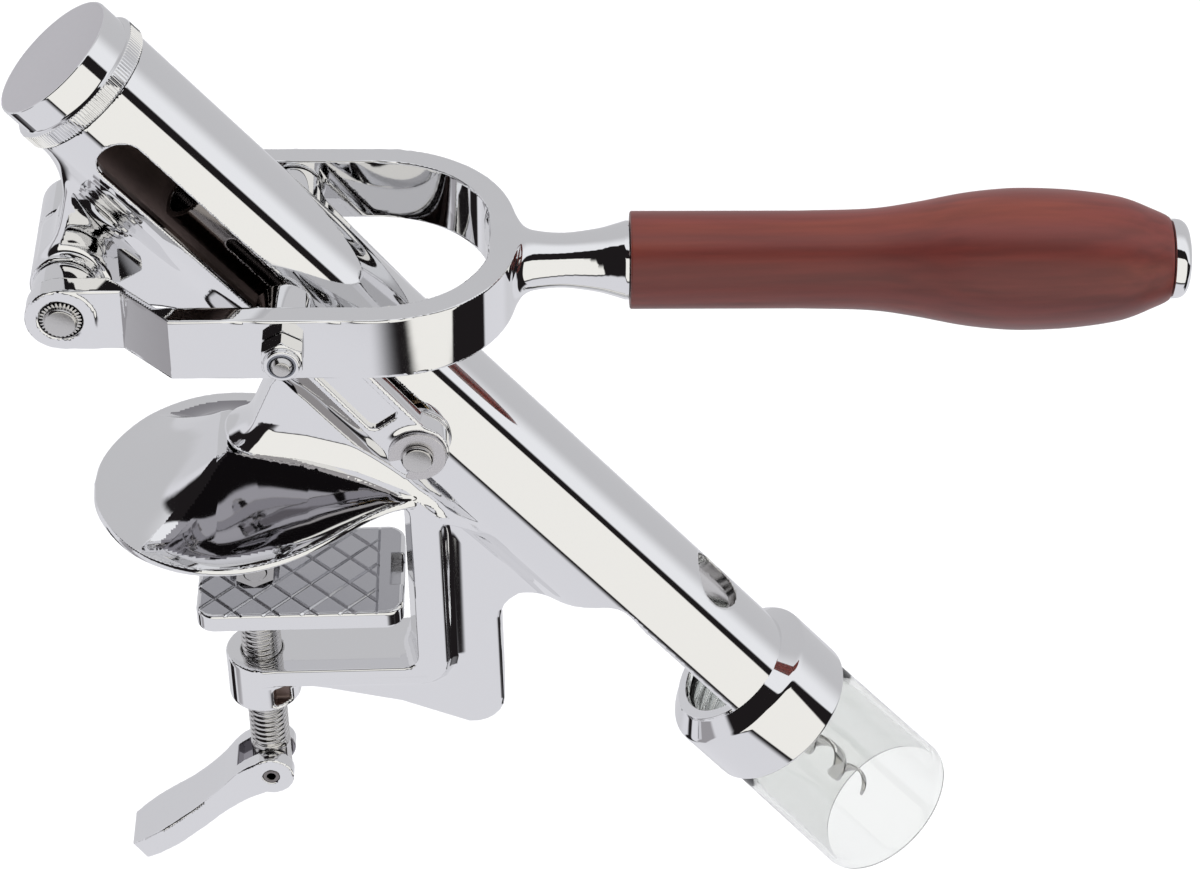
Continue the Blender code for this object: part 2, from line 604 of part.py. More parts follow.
def make_pressure_plate():
    """Plate that grips the underside of the bar top, notched at the throat end."""
    left, right, half, corner = -15.2, 40.6, 18.0, 5.0
    notch_half, notch_in = 6.4, 36.9
    outline = (arc((left + corner, corner - half), corner, 180, 270, 4)
               + arc((right - corner, corner - half), corner, 270, 360, 4)
               + [(right, -notch_half), (notch_in, -notch_half), (notch_in, notch_half), (right, notch_half)]
               + arc((right - corner, half - corner), corner, 0, 90, 4)
               + arc((left + corner, half - corner), corner, 90, 180, 4))
    body = slab('pressure_plate', outline, PLATE_TOP - PLATE_THICK, PLATE_TOP)
    recess = slab('recess_tool', polygon_ring(8, 6.6, 8), PLATE_TOP - 3.2, PLATE_TOP + 2.0)
    neck = rod('plate_hole_tool', (0.0, 0.0, PLATE_TOP - 8.0), (0.0, 0.0, PLATE_TOP + 1.0), 3.3, count=24)
    cut(body, recess, neck)
    return own_material(body, SATIN_STEEL)


def make_clamp_screw():
    """Threaded screw with a neck at the top and a flat tongue at the foot."""
    shoulder = PLATE_TOP - PLATE_THICK - GAP
    foot = WING_PIVOT.z - 6.0
    profile = [(0.0, foot), (SCREW_R, foot)]
    pitch, crest = 2.0, SCREW_R
    z = WING_PIVOT.z + 9.0
    profile.append((crest, z))
    while z < shoulder - 2.0 * pitch:
        profile += [(crest - 0.6, z + pitch / 2), (crest, z + pitch)]
        z += pitch
    profile += [(crest, shoulder), (3.0, shoulder), (3.0, PLATE_TOP - 0.8), (0.0, PLATE_TOP - 0.8)]
    body = turned('clamp_screw', profile, count=14)
    cheek = [(-8.0, foot - 2.0), (8.0, foot - 2.0), (8.0, WING_PIVOT.z + 7.5), (-8.0, WING_PIVOT.z + 7.5)]
    for side in (-1.0, 1.0):
        cut(body, extruded('tongue_tool', cheek, 3.0, centre=side * 6.8))
    pivot = WING_PIVOT
    cut(body, rod('tongue_pin_tool', pivot - ACROSS * 8.0, pivot + ACROSS * 8.0, 2.55, count=24))
    return own_material(body, SATIN_STEEL)


def make_plate_nut():
    """Hexagon nut that keeps the plate on the screw, sunk in the plate's recess."""
    count = 24
    outer, inner = polygon_ring(6, 5.0, count), circle_ring(3.3, count)
    low, high = PLATE_TOP - 2.9, PLATE_TOP - 0.6
    rings = [[(x, y, z) for x, y in ring] for ring, z in ((outer, low), (outer, high), (inner, high), (inner, low))]
    return own_material(loft('plate_nut', rings, closed_tube=True), SATIN_STEEL)


def make_wing_handle():
    """Paddle that turns the clamp screw: two cheeks astride the tongue, then a flat blade."""
    place = Matrix.Translation(WING_PIVOT * MM)
    head = arc((0.0, 0.0), 6.3, -70, 115, 10)
    blade_top = [(-9.0, 0.8), (-16.0, -7.2), (-24.0, -14.4), (-33.0, -21.4)]
    blade_foot = [(-34.0, -22.8), (-33.6, -24.0), (-28.6, -26.6), (-19.0, -19.4), (-10.6, -12.0), (-5.0, -8.6)]
    body = extruded('wing_handle', head + blade_top + blade_foot, 8.2, place)
    gap_outline = [(-9.5, -14.0), (12.0, -14.0), (12.0, 12.0), (-9.5, 12.0)]
    fork = extruded('fork_tool', gap_outline, 4.1, place)
    hole = rod('wing_pin_tool', (0.0, -12.0, 0.0), (0.0, 12.0, 0.0), 2.55, place, 24)
    cut(body, fork, hole)
    return own_material(body, CHROME)


def make_wing_pin():
    """Hollow roll pin through the paddle and the screw's tongue."""
    turn = Matrix.Translation(WING_PIVOT * MM) @ Matrix.Rotation(pi / 2, 4, 'X')
    profile = [(1.2, -8.0), (2.3, -8.0), (2.3, 8.0), (1.2, 8.0)]
    return own_material(turned('wing_pin', profile, turn, 20), SATIN_STEEL)


# ---------------------------------------------------------------- assembly

def group(name, placement, members):
    """An empty on a joint's axis that carries the pieces of one moving body."""
    empty = bpy.data.objects.new(name, None)
    bpy.context.scene.collection.objects.link(empty)
    empty.matrix_world = placement
    for member in members:
        member.parent = empty
        member.matrix_parent_inverse = placement.inverted()


def build():
    for obj in list(bpy.data.objects):
        bpy.data.objects.remove(obj, do_unlink=True)
    make_frame_casting()
    make_end_cap()
    make_bell()
    make_bell_gasket()
    sides = (('near', -1.0), ('far', 1.0))

    at_pin = BARREL @ Matrix.Translation(Vector((0.0, 0.0, PIN_STATION)) * MM)
    group('sleeve_body', BARREL, [make_sleeve(), make_worm_nut()])
    group('carriage_body', at_pin, [make_carriage(), make_cross_pin(), make_swivel_block()]
          + [make_slot_bush('slot_bush_' + name, -side) for name, side in sides])
    group('worm_body', at_pin, [make_worm(), make_thrust_washer(), make_shank_nut()])

    lever = [make_lever_yoke(), make_grip(), make_tang(), make_grip_nut(), make_hinge_pin(), make_hinge_spacer()]
    for name, side in sides:
        lever += [make_pivot_bolt('pivot_bolt_' + name, side), make_lock_nut('lock_nut_' + name, side)]
    group('lever_body', LEVER, lever)

    links = []
    for name, side in sides:
        links += [make_link('link_' + name, side), make_link_stud('link_stud_' + name, side),
                  make_link_washer('link_washer_' + name, side), make_clip('clip_' + name, side)]
    group('links_body', LINK, links)

    group('plate_body', WORLD, [make_pressure_plate()])
    group('screw_body', WORLD, [make_clamp_screw(), make_plate_nut()])
    group('wing_body', Matrix.Translation(WING_PIVOT * MM), [make_wing_handle(), make_wing_pin()])


build()
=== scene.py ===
from math import cos, pi, radians, sin, sqrt, tau

import bpy
import numpy as np
from mathutils import Matrix, Vector


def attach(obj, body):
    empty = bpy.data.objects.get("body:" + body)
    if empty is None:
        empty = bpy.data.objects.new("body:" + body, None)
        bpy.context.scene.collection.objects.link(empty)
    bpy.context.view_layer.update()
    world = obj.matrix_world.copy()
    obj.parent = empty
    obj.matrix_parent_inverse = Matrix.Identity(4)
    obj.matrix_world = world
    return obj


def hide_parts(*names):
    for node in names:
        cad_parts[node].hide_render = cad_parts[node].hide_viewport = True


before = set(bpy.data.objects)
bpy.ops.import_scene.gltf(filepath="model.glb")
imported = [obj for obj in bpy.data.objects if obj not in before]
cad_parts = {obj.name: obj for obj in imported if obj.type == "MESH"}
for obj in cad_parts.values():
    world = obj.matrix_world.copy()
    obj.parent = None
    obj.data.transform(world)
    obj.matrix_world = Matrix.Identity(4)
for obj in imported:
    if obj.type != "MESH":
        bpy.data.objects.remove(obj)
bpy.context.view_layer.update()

MM = 0.001

# ---------------------------------------------------------------- frames, in millimetres

BARREL_TOP = np.array([-37.2, 0.0, 137.0])
BARREL_SLOPE = radians(51.2)
ALONG = np.array([cos(BARREL_SLOPE), 0.0, -sin(BARREL_SLOPE)])
ABOVE = np.array([sin(BARREL_SLOPE), 0.0, cos(BARREL_SLOPE)])
HINGE = np.array([-39.5, 0.0, 75.2])
LEVER_DROOP = radians(-1.45)
LEVER_X = np.array([cos(LEVER_DROOP), 0.0, sin(LEVER_DROOP)])
LEVER_Z = np.array([-sin(LEVER_DROOP), 0.0, cos(LEVER_DROOP)])
ACROSS = np.array([0.0, 1.0, 0.0])
CRANK = 55.7                        # hinge pin to the pivot bolts
PIN_STATION = 135.0                 # cross pin, from the barrel's top
CRANK_PIN = HINGE + LEVER_X * CRANK
LINK_PIN = BARREL_TOP + ALONG * PIN_STATION
LINK_LENGTH = float(np.linalg.norm(LINK_PIN - CRANK_PIN))
LINK_X = (LINK_PIN - CRANK_PIN) / LINK_LENGTH
LINK_Z = np.cross(LINK_X, ACROSS)
WING_PIVOT = np.array([0.0, 0.0, -101.0])
SIDES = (("near", -1.0), ("far", 1.0))

# ---------------------------------------------------------------- driving sizes, in millimetres

BARREL_R = 18.25
BORE_R = 15.0
WEB_HALF = 8.0
LUG_R = 9.0
NECK_HALF = 7.6
RIB_HALF = 6.4
BAND_HALF = 10.5
BOSS_R = 10.0
ARM_HALF = 9.0                      # half the height of the stirrup's arms
ARM_OUT = 24.6                      # outside of the arms at the hubs
ARM_IN = 18.8
PIN_HOLE_R = 5.6
BOLT_HOLE_R = 3.2
LINK_OUT = 27.0
NUT_SEAT = 37.2
SLEEVE_R = 10.0
PLATE_TOP = -31.0
PLATE_MIDDLE = 12.7
PLATE_CORNER = 5.0
SPINDLE_R = 5.5
WORM_PITCH = 12.0


def placement(origin, x_axis, y_axis, z_axis):
    """4x4 placement in metres from a millimetre origin and three axes."""
    turn = Matrix((x_axis.tolist(), y_axis.tolist(), z_axis.tolist())).transposed().to_4x4()
    return Matrix.Translation(Vector(origin.tolist()) * MM) @ turn


BARREL = placement(BARREL_TOP, ABOVE, -ACROSS, ALONG)
LEVER = placement(HINGE, LEVER_X, ACROSS, LEVER_Z)
LINK = placement(CRANK_PIN, LINK_X, ACROSS, LINK_Z)
WING = placement(WING_PIVOT, np.array([1.0, 0, 0]), ACROSS, np.array([0, 0, 1.0]))
WORLD = Matrix.Identity(4)


def to_local(points, origin, x_axis, z_axis):
    """Coordinates of points in a local frame that shares the tool's Y axis."""
    rel = points - origin
    return rel @ x_axis, rel[:, 1], rel @ z_axis


# ---------------------------------------------------------------- distance fields, in millimetres

def polygon(a, b, outline):
    """Signed distance from points (a, b) to a closed outline, negative inside."""
    pts = np.asarray(outline, float)
    nxt = np.roll(pts, -1, axis=0)
    best = np.full(a.shape, 1e18)
    inside = np.zeros(a.shape, bool)
    for (x0, y0), (x1, y1) in zip(pts, nxt):
        ex, ey = x1 - x0, y1 - y0
        wx, wy = a - x0, b - y0
        t = np.clip((wx * ex + wy * ey) / (ex * ex + ey * ey), 0.0, 1.0)
        dx, dy = wx - ex * t, wy - ey * t
        np.minimum(best, dx * dx + dy * dy, out=best)
        crosses = (y0 <= b) != (y1 <= b)
        if ey:
            inside ^= crosses & (wx < wy * ex / ey)
    return np.where(inside, -1.0, 1.0) * np.sqrt(best)


def both(*fields, r=0.0):
    """Intersection of fields, with its edges rounded to radius r."""
    if not r:
        return np.maximum.reduce(fields)
    pushed = [f + r for f in fields]
    inner = np.minimum(np.maximum.reduce(pushed), 0.0)
    outer = np.sqrt(sum(np.maximum(f, 0.0) ** 2 for f in pushed))
    return inner + outer - r


def join(a, b, k):
    """Union with a fillet about k wide."""
    h = np.maximum(k - np.abs(a - b), 0.0) / k
    return np.minimum(a, b) - h * h * k * 0.25


def carve(a, b, k=0.4):
    """Remove b from a, leaving an edge eased over k."""
    h = np.maximum(k - np.abs(a + b), 0.0) / k
    return np.maximum(a, -b) + h * h * k * 0.25


def stadium(along, across, first, last, radius):
    """Slot with round ends, whose centres are at first and last."""
    beyond = np.maximum(np.abs(along - (first + last) / 2) - (last - first) / 2, 0.0)
    return np.hypot(beyond, across) - radius


def arc(centre, radius, start, end, steps):
    """Points of an arc, from start to end in degrees."""
    angles = [radians(start + (end - start) * i / steps) for i in range(steps + 1)]
    return [(centre[0] + radius * cos(t), centre[1] + radius * sin(t)) for t in angles]


def spline(points, steps=6):
    """Smooth open curve through points (Catmull-Rom)."""
    pts = np.asarray(points, float)
    last = len(pts) - 1
    out = []
    for i in range(last):
        p0 = pts[i - 1] if i else 2 * pts[0] - pts[1]
        p1, p2 = pts[i], pts[i + 1]
        p3 = pts[i + 2] if i + 1 < last else 2 * pts[-1] - pts[-2]
        for j in range(steps):
            t = j / steps
            out.append(tuple(0.5 * (2 * p1 + (p2 - p0) * t + (2 * p0 - 5 * p1 + 4 * p2 - p3) * t * t
                                    + (3 * p1 - p0 - 3 * p2 + p3) * t ** 3)))
    return out + [tuple(pts[-1])]


def linked(name, data):
    """New object in the scene."""
    obj = bpy.data.objects.new(name, data)
    bpy.context.scene.collection.objects.link(obj)
    return obj


# ---------------------------------------------------------------- meshes of fields

SPAN = 1 << 20                      # more cells than any axis has
LEVELS = 3                          # refinements of the coarse grid
OFFSETS = np.array([(i, j, k) for i in (0, 1) for j in (0, 1) for k in (0, 1)])


def gradient(field, points, eps=0.02):
    """Unit gradient of a field by central differences."""
    out = np.empty_like(points)
    for axis in range(3):
        step = np.zeros(3)
        step[axis] = eps
        out[:, axis] = field(points + step) - field(points - step)
    return out / np.maximum(np.linalg.norm(out, axis=1, keepdims=True), 1e-9)


def cell_key(cells):
    """One sortable number for each cell."""
    return (cells[:, 0] * SPAN + cells[:, 1]) * SPAN + cells[:, 2]


def locate(keys, wanted):
    """Place of each wanted key among sorted keys, or -1."""
    at = np.minimum(np.searchsorted(keys, wanted), len(keys) - 1)
    return np.where(keys[at] == wanted, at, -1)


def cells_near(field, low, high, cell):
    """Sorted cells near the surface, from a coarse grid refined level by level."""
    count = np.ceil((high - low) / (cell * 2 ** LEVELS)).astype(int)
    index = np.stack(np.meshgrid(*[np.arange(c) for c in count], indexing="ij"), -1).reshape(-1, 3)
    for level in range(LEVELS + 1):
        size = cell * 2 ** (LEVELS - level)
        value = field(low + (index + 0.5) * size)
        index = index[np.abs(value) < size * 1.25 + 0.05]
        if level < LEVELS:
            index = (index[:, None, :] * 2 + OFFSETS[None]).reshape(-1, 3)
    return index[np.argsort(cell_key(index))]


def find_zero(field, base, axis, cell, v0, v1):
    """Zeros of the field on edges one cell long, which start at base with v0 and end with v1."""
    t0, t1 = np.zeros(len(base)), np.ones(len(base))
    for _ in range(3):
        t = np.clip(t0 + (t1 - t0) * v0 / (v0 - v1), t0, t1)
        point = base.copy()
        point[:, axis] += t * cell
        v = field(point)
        same = (v < 0) == (v0 < 0)
        t0, v0 = np.where(same, t, t0), np.where(same, v, v0)
        t1, v1 = np.where(same, t1, t), np.where(same, v1, v)
        v0 = np.where(v0 == v1, v0 + 1e-9, v0)
    return point


def crossings(field, index, low, cell):
    """Edges that cross the surface: a face of four cells round each, the point, and those cells."""
    keys = cell_key(index)
    corners = (index[:, None, :] + OFFSETS[None]).reshape(-1, 3)
    corner_keys, first = np.unique(cell_key(corners), return_index=True)
    corner = corners[first]
    value = field(low + corner * cell)
    quads, points, owners = [], [], []
    for axis in range(3):
        step = np.zeros(3, int)
        step[axis] = 1
        other = locate(corner_keys, cell_key(corner + step))
        flips = (other >= 0) & ((value < 0) != (value[other] < 0))
        start = corner[flips]
        v0, v1 = value[flips], value[other[flips]]
        point = find_zero(field, low + start * cell, axis, cell, v0, v1)
        a, b = (axis + 1) % 3, (axis + 2) % 3
        ring = []
        for da, db in ((0, 0), (-1, 0), (-1, -1), (0, -1)):
            cells = start.copy()
            cells[:, a] += da
            cells[:, b] += db
            ring.append(locate(keys, cell_key(cells)))
        ring = np.stack(ring, 1)
        whole = (ring >= 0).all(1)
        ring, inside_first = ring[whole], (v0 < 0)[whole]
        quads.append(np.where(inside_first[:, None], ring, ring[:, ::-1]))
        points.append(point[whole])
        owners.append(ring)
    return np.concatenate(quads), np.concatenate(points), np.concatenate(owners)


def cell_points(field, index, low, cell, points, owners):
    """A vertex for each used cell, where the planes of its crossings meet, and each cell's number."""
    total = len(index)
    centre = low + (index + 0.5) * cell
    normal = gradient(field, points)
    moment, push, mass = np.zeros((total, 3, 3)), np.zeros((total, 3)), np.zeros((total, 3))
    hits = np.zeros(total)
    for owner in range(4):
        at = owners[:, owner]
        rel = points - centre[at]
        plane = (normal * rel).sum(1)
        hits += np.bincount(at, minlength=total)
        for i in range(3):
            push[:, i] += np.bincount(at, normal[:, i] * plane, total)
            mass[:, i] += np.bincount(at, rel[:, i], total)
            for j in range(3):
                moment[:, i, j] += np.bincount(at, normal[:, i] * normal[:, j], total)
    used = hits > 0
    mean = mass[used] / hits[used, None]
    soft = 0.03 * hits[used]
    matrix = moment[used] + soft[:, None, None] * np.eye(3)
    target = push[used] + soft[:, None] * mean
    rel = np.linalg.solve(matrix, target[..., None])[..., 0]
    return centre[used] + np.clip(rel, -0.6 * cell, 0.6 * cell), np.cumsum(used) - 1


def corner_normals(field, verts, quads):
    """Normal at each face's corners; near a sharp edge it is taken inside the face."""
    corner = verts[quads]
    flat = np.cross(corner[:, 2] - corner[:, 0], corner[:, 3] - corner[:, 1])
    flat /= np.maximum(np.linalg.norm(flat, axis=1, keepdims=True), 1e-12)
    normal = gradient(field, verts)[quads]
    bent = (normal * flat[:, None, :]).sum(2) < 0.975
    inside = corner * 0.6 + corner.mean(1)[:, None, :] * 0.4
    if bent.any():
        normal[bent] = gradient(field, inside[bent])
    return normal.reshape(-1, 3)


def surface(name, field, low, high, cell):
    """Mesh of a field's zero surface between low and high, by dual contouring."""
    low, high = np.asarray(low, float), np.asarray(high, float)
    index = cells_near(field, low, high, cell)
    quads, points, owners = crossings(field, index, low, cell)
    verts, number = cell_points(field, index, low, cell, points, owners)
    quads = number[quads]
    mesh = bpy.data.meshes.new(name)
    mesh.from_pydata((verts * MM).tolist(), [], quads.tolist())
    mesh.update()
    mesh.shade_smooth()
    mesh.normals_split_custom_set(corner_normals(field, verts, quads).tolist())
    return linked(name, mesh)


# ---------------------------------------------------------------- the casting

def on_barrel(s, n):
    """(x, z) of a point s down the barrel's axis and n above it."""
    point = BARREL_TOP + ALONG * s + ABOVE * n
    return (point[0], point[2])


SADDLE_RIM = spline([(-40.5, 0.0), (-39.7, -8.0), (-37.3, -15.0), (-33.4, -21.8), (-28.4, -27.8),
                     (-22.3, -32.4), (-15.2, -35.7), (-7.4, -37.2), (0.5, -36.8), (8.2, -34.6),
                     (15.6, -30.9), (22.5, -26.0), (28.6, -20.8), (34.0, -16.4), (39.5, -13.2),
                     (45.0, -11.6)], 7)
SADDLE_PLAN = SADDLE_RIM + [(x, -y) for x, y in reversed(SADDLE_RIM[1:])]
WEB = (spline([(18.0, -12.0), (23.5, -18.6), (29.5, -25.2), (35.0, -33.0), (37.8, -40.5)], 4)
       + spline([(60.5, -40.5), (65.0, -33.0), (71.5, -27.0), (81.0, -22.0), (94.0, -17.5),
                 (110.0, -12.0)], 3))
NECK = [on_barrel(88.0, -6.0), (-14.0, 40.0), (-14.0, 21.5), (-4.6, 20.3), (4.4, 17.5), (17.3, 14.5),
        (30.2, 9.6), (43.0, 2.3), (47.0, -6.0), on_barrel(175.0, -14.0), on_barrel(175.0, -6.0)]
NECK_BACK = ([12.0, 20.3, 26.5, 33.5, 40.0, 60.0], [-12.0, -4.6, 1.4, 5.4, 7.6, 12.0])
LIP = ([-4.6, 4.4, 17.3, 30.2, 43.0, 51.0], [20.9, 19.0, 16.6, 12.3, 5.2, -4.0])
ROOF = ([-6.0, 4.4, 17.3, 30.2, 43.0], [17.5, 14.0, 11.0, 6.3, 0.5])
RIB_HEEL = arc((57.8, -74.6), 9.0, 262, 360, 6)
RIB = ([on_barrel(100.0, -5.0), (9.0, 38.0), (2.0, 22.0), (-2.0, 12.0), (-6.0, 1.0), (46.0, 1.0),
        (46.0, -61.0), (8.0, -61.0), (8.0, -68.0), (12.0, -68.2), (38.0, -75.0)] + RIB_HEEL
       + arc((74.9, -44.0), 8.2, 180, 95, 6) + [(83.0, -35.4), (93.6, -43.0), on_barrel(232.0, -8.0)])
THROAT = ([(-80.0, 0.0), (39.6, 0.0)] + arc((39.6, -4.0), 4.0, 90, 0, 4)[1:]
          + arc((39.6, -54.5), 4.0, 0, -90, 4) + [(-80.0, -58.5)])
BAND = ([(30.0, 2.6), (43.6, 2.6)] + arc((43.7, -5.4), 8.0, 90, 0, 5)[1:]
        + arc((43.7, -56.5), 8.0, 0, -90, 4) + [(0.0, -64.5), (0.0, -58.0), (30.0, -58.0)])
COLLAR = [(15.2, 265.4), (17.9, 265.4), (18.1, 266.1), (22.3, 269.5), (22.8, 270.1), (22.93, 271.0),
          (22.93, 288.3), (22.3, 289.0), (20.4, 289.0), (20.4, 269.3), (18.9, 268.0), (15.2, 267.6)]
WINDOW = (spline([(203.0, -24.0), (207.5, -15.5), (211.3, -7.6), (214.6, -1.8), (219.0, 0.4),
                  (228.0, 0.0)], 4)
          + [(265.6, 0.0), (265.6, -30.0), (212.0, -30.0)])


def saddle(x, y, z):
    """Saddle: a dished plate that rises to the neck along two creases."""
    ay = np.abs(y)
    rim = np.full(x.shape, 50.0)
    level = np.abs(z - 9.0) < 15.5
    rim[level] = polygon(x[level], y[level], SADDLE_PLAN)
    from_neck = np.hypot(np.maximum(np.maximum(-3.5 - x, x - 60.0), 0.0), np.maximum(ay - 8.6, 0.0))
    from_rim = np.maximum(-rim, 0.0)
    fall = 1.0 - from_neck / np.maximum(from_neck + from_rim, 1e-6)
    scooped = np.clip((0.7 * (x + 4.7) + 0.714 * (ay - 10.0)) / 4.5 + 0.5, 0.0, 1.0)
    roof = 2.1 + np.interp(x, *ROOF) * fall ** (1.35 + 0.55 * scooped)
    return both(rim, (z - roof) * 0.6, -z, r=0.7)


def neck(x, y, z):
    """Neck from the barrel to the saddle, its foot flared out to the lip."""
    flare = np.clip(1.0 - (z - np.interp(x, *LIP)) / 6.5, 0.0, 1.0)
    half = NECK_HALF + 2.8 * flare * flare * (1.6 - 0.6 * flare)
    back = np.interp(z, *NECK_BACK) + BAND_HALF - 0.1
    column = np.hypot(np.minimum(x - back, 0.0), y)
    return both(polygon(x, z, NECK), column - half, r=0.8)


def clamp_frame(x, y, z):
    """Rib and band of the clamp, with a hollow fillet between them."""
    ay = np.abs(y)
    edge = polygon(x, z, BAND)
    skirt = np.clip(1.0 - edge / 5.5, 0.0, 1.0)
    rib = both(polygon(x, z, RIB), ay - RIB_HALF - 3.4 * skirt ** 2.2, r=1.4)
    band = both(edge, ay - BAND_HALF, r=0.8)
    return rib, band


def casting(p):
    """The frame casting: barrel, hinge lug, neck, saddle and clamp frame."""
    x, y, z = p[:, 0], p[:, 1], p[:, 2]
    rel = p - BARREL_TOP
    s, n = rel @ ALONG, rel @ ABOVE
    r = np.hypot(n, y)
    ay = np.abs(y)
    from_hinge = np.hypot(x - HINGE[0], z - HINGE[2])
    from_screw = np.hypot(x, y)

    barrel = both(r - BARREL_R, 12.4 - s, s - 266.5, r=0.15)
    web = both(polygon(s, n, WEB), ay - WEB_HALF, r=2.2)
    lug = both(from_hinge - LUG_R, ay - 10.7, r=0.6)
    upper = join(barrel, join(web, lug, 3.0), 7.0)

    rib, band = clamp_frame(x, y, z)
    boss = both(from_screw - BOSS_R, z + 58.2, -74.5 - z, r=1.2)
    lower = join(join(neck(x, y, z), rib, 2.0), band, 1.2)
    lower = join(join(lower, boss, 1.5), saddle(x, y, z), 1.6)
    body = join(upper, lower, 6.0)
    draft = 0.2 * np.clip(BAND_HALF - ay, 0.0, BAND_HALF)
    body = carve(body, polygon(x + draft, z, THROAT), 0.6)

    bore = both(r - BORE_R, 11.0 - s, s - 268.0)
    slot = both(stadium(s, n, 26.0, 135.0, 6.0), WEB_HALF - ay)
    window = polygon(s, n, WINDOW)
    hole = both(np.hypot(s - 238.0, y) - 8.5, 8.0 - n)
    boss_hole = both(from_screw - 5.7, z + 50.0)
    pocket = both(np.abs(x - 5.3) - 2.3, y + 5.6, np.abs(z + 69.8) - 3.1, r=0.8)
    pin_hole = both(from_hinge - 5.0, ay - 30.0)
    return carve(body, np.minimum.reduce([bore, slot, window, hole, boss_hole, pocket, pin_hole]), 0.8)


# ---------------------------------------------------------------- mesh pieces

def mesh_piece(name, verts, faces, place, sharp=32.0):
    """Object from millimetre vertices in a local frame."""
    mesh = bpy.data.meshes.new(name)
    mesh.from_pydata([place @ (Vector(v) * MM) for v in verts], [], faces)
    mesh.update()
    mesh.shade_smooth()
    mesh.set_sharp_from_angle(angle=radians(sharp))
    return linked(name, mesh)


def loft(name, rings, place, sharp=32.0, tube=False):
    """Skin over rings of points, with its ends capped or joined to each other as a tube."""
    rows, count = len(rings), len(rings[0])
    faces = []
    for row in range(rows if tube else rows - 1):
        a, b = row * count, (row + 1) % rows * count
        for i in range(count):
            j = (i + 1) % count
            faces.append((a + i, a + j, b + j, b + i))
    if not tube:
        faces.append(tuple(reversed(range(count))))
        faces.append(tuple((rows - 1) * count + i for i in range(count)))
    return mesh_piece(name, [v for ring in rings for v in ring], faces, place, sharp)


def lathe(name, profile, place, count=72, wave=None, tube=False, sharp=32.0):
    """Turned piece from (radius, station) points; wave(step, row) may add to the radius."""
    rings = []
    for row, (radius, z) in enumerate(profile):
        ring = []
        for i in range(count):
            a = tau * i / count
            r = radius + (wave(i, row) if wave else 0.0)
            ring.append((r * cos(a), r * sin(a), z))
        rings.append(ring)
    return loft(name, rings, place, sharp, tube)


def ease(profile, r=0.3, steps=3):
    """Round the corners of a profile by r."""
    out = [profile[0]]
    for before, at, after in zip(profile, profile[1:], profile[2:]):
        a, b, c = (Vector(v) for v in (before, at, after))
        into, away = (a - b), (c - b)
        cut = min(r, into.length * 0.45, away.length * 0.45)
        start, end = b + into.normalized() * cut, b + away.normalized() * cut
        for k in range(steps + 1):
            t = k / steps
            out.append(tuple(start * (1 - t) ** 2 + b * 2 * t * (1 - t) + end * t * t))
    return out + [profile[-1]]


def turn_y(base, x, side):
    """Frame at x on a base frame's X axis, its Z pointing out of the tool on one side."""
    shift = Matrix.Translation(Vector((x, 0.0, 0.0)) * MM)
    return base @ shift @ Matrix.Rotation(-side * pi / 2, 4, "X")


LEVER_AXIS = LEVER @ Matrix.Rotation(pi / 2, 4, "Y")


# ---------------------------------------------------------------- lever fields

def stirrup_plan(x, y, centre, reach, half, knee, hub):
    """Plan of the stirrup: straight arms, an outward jog and a full round bow."""
    power, run = 2.14, 12.7
    across = np.abs(y)
    bow = ((np.maximum(x - centre, 0.0) / reach) ** power + (across / half) ** power) ** (1 / power)
    rise = (half - hub) / run
    jog = (across - hub - rise * (x - knee)) / sqrt(1.0 + rise * rise)
    return np.maximum((bow - 1.0) * half, np.minimum(across - hub, jog))


FERRULE = ([(104.0, -1.0), (104.0, 9.6)]
           + spline([(109.2, 9.4), (113.0, 8.9), (118.9, 7.48), (125.8, 7.01), (134.0, 8.08),
                     (138.6, 9.3), (141.0, 10.05)], 4)
           + [(141.9, 10.1), (141.9, -1.0)])


def lever_yoke(p):
    """Stirrup, hubs and ferrule."""
    x, y, z = to_local(p, HINGE, LEVER_X, LEVER_Z)
    from_pin = np.hypot(x, z)
    outside = stirrup_plan(x, y, 76.9, 37.0, 36.9, 15.2, ARM_OUT)
    inside = -stirrup_plan(x, y, 76.0, 31.6, 31.1, 12.0, ARM_IN)
    near = both(from_pin - LUG_R, -ARM_OUT - y, y + ARM_IN, r=0.5)
    far = both(from_pin - LUG_R, y - ARM_OUT, 11.0 - y, r=0.5)
    arms = both(outside, inside, np.abs(z) - ARM_HALF, -x, r=0.5)
    band = join(join(arms, near, 0.6), far, 0.6)
    ferrule = np.maximum(polygon(x, np.hypot(y, z), FERRULE), 107.6 - x)
    body = join(band, ferrule, 4.0)
    tang = both(np.hypot(y, z) - 4.3, 127.5 - x)
    holes = [from_pin - PIN_HOLE_R, np.hypot(x - CRANK, z) - BOLT_HOLE_R, tang]
    return carve(body, np.minimum.reduce(holes), 0.5)


def link_field(side):
    """Field of one connecting link: two eyes and a sunk panel."""
    def field(p):
        """Distance to the link on one side."""
        x, y, z = to_local(p, CRANK_PIN, LINK_X, LINK_Z)
        y = y * side
        far = x - LINK_LENGTH
        thick = (21.05 - y, y - LINK_OUT)
        bar = both(-x, far, np.abs(z) - 6.5, *thick, r=0.7)
        upper = both(np.hypot(x, z) - 7.5, 19.5 - y, y - 30.6, r=0.6)
        lower = both(np.hypot(far, z) - 8.1, *thick, r=0.6)
        body = join(join(bar, upper, 1.6), lower, 1.4)
        from_panel = np.hypot(np.maximum(np.abs(x - 26.0) - 12.0, 0.0), np.maximum(np.abs(z) - 2.6, 0.0))
        panel = both(from_panel - 1.8, 25.7 - y)
        head = both(np.hypot(x, z) - 5.6, y - 21.2)
        holes = np.minimum.reduce([np.hypot(x, z) - BOLT_HOLE_R, head, np.hypot(far, z) - 4.25])
        return carve(body, np.minimum(panel, holes), 0.6)
    return field


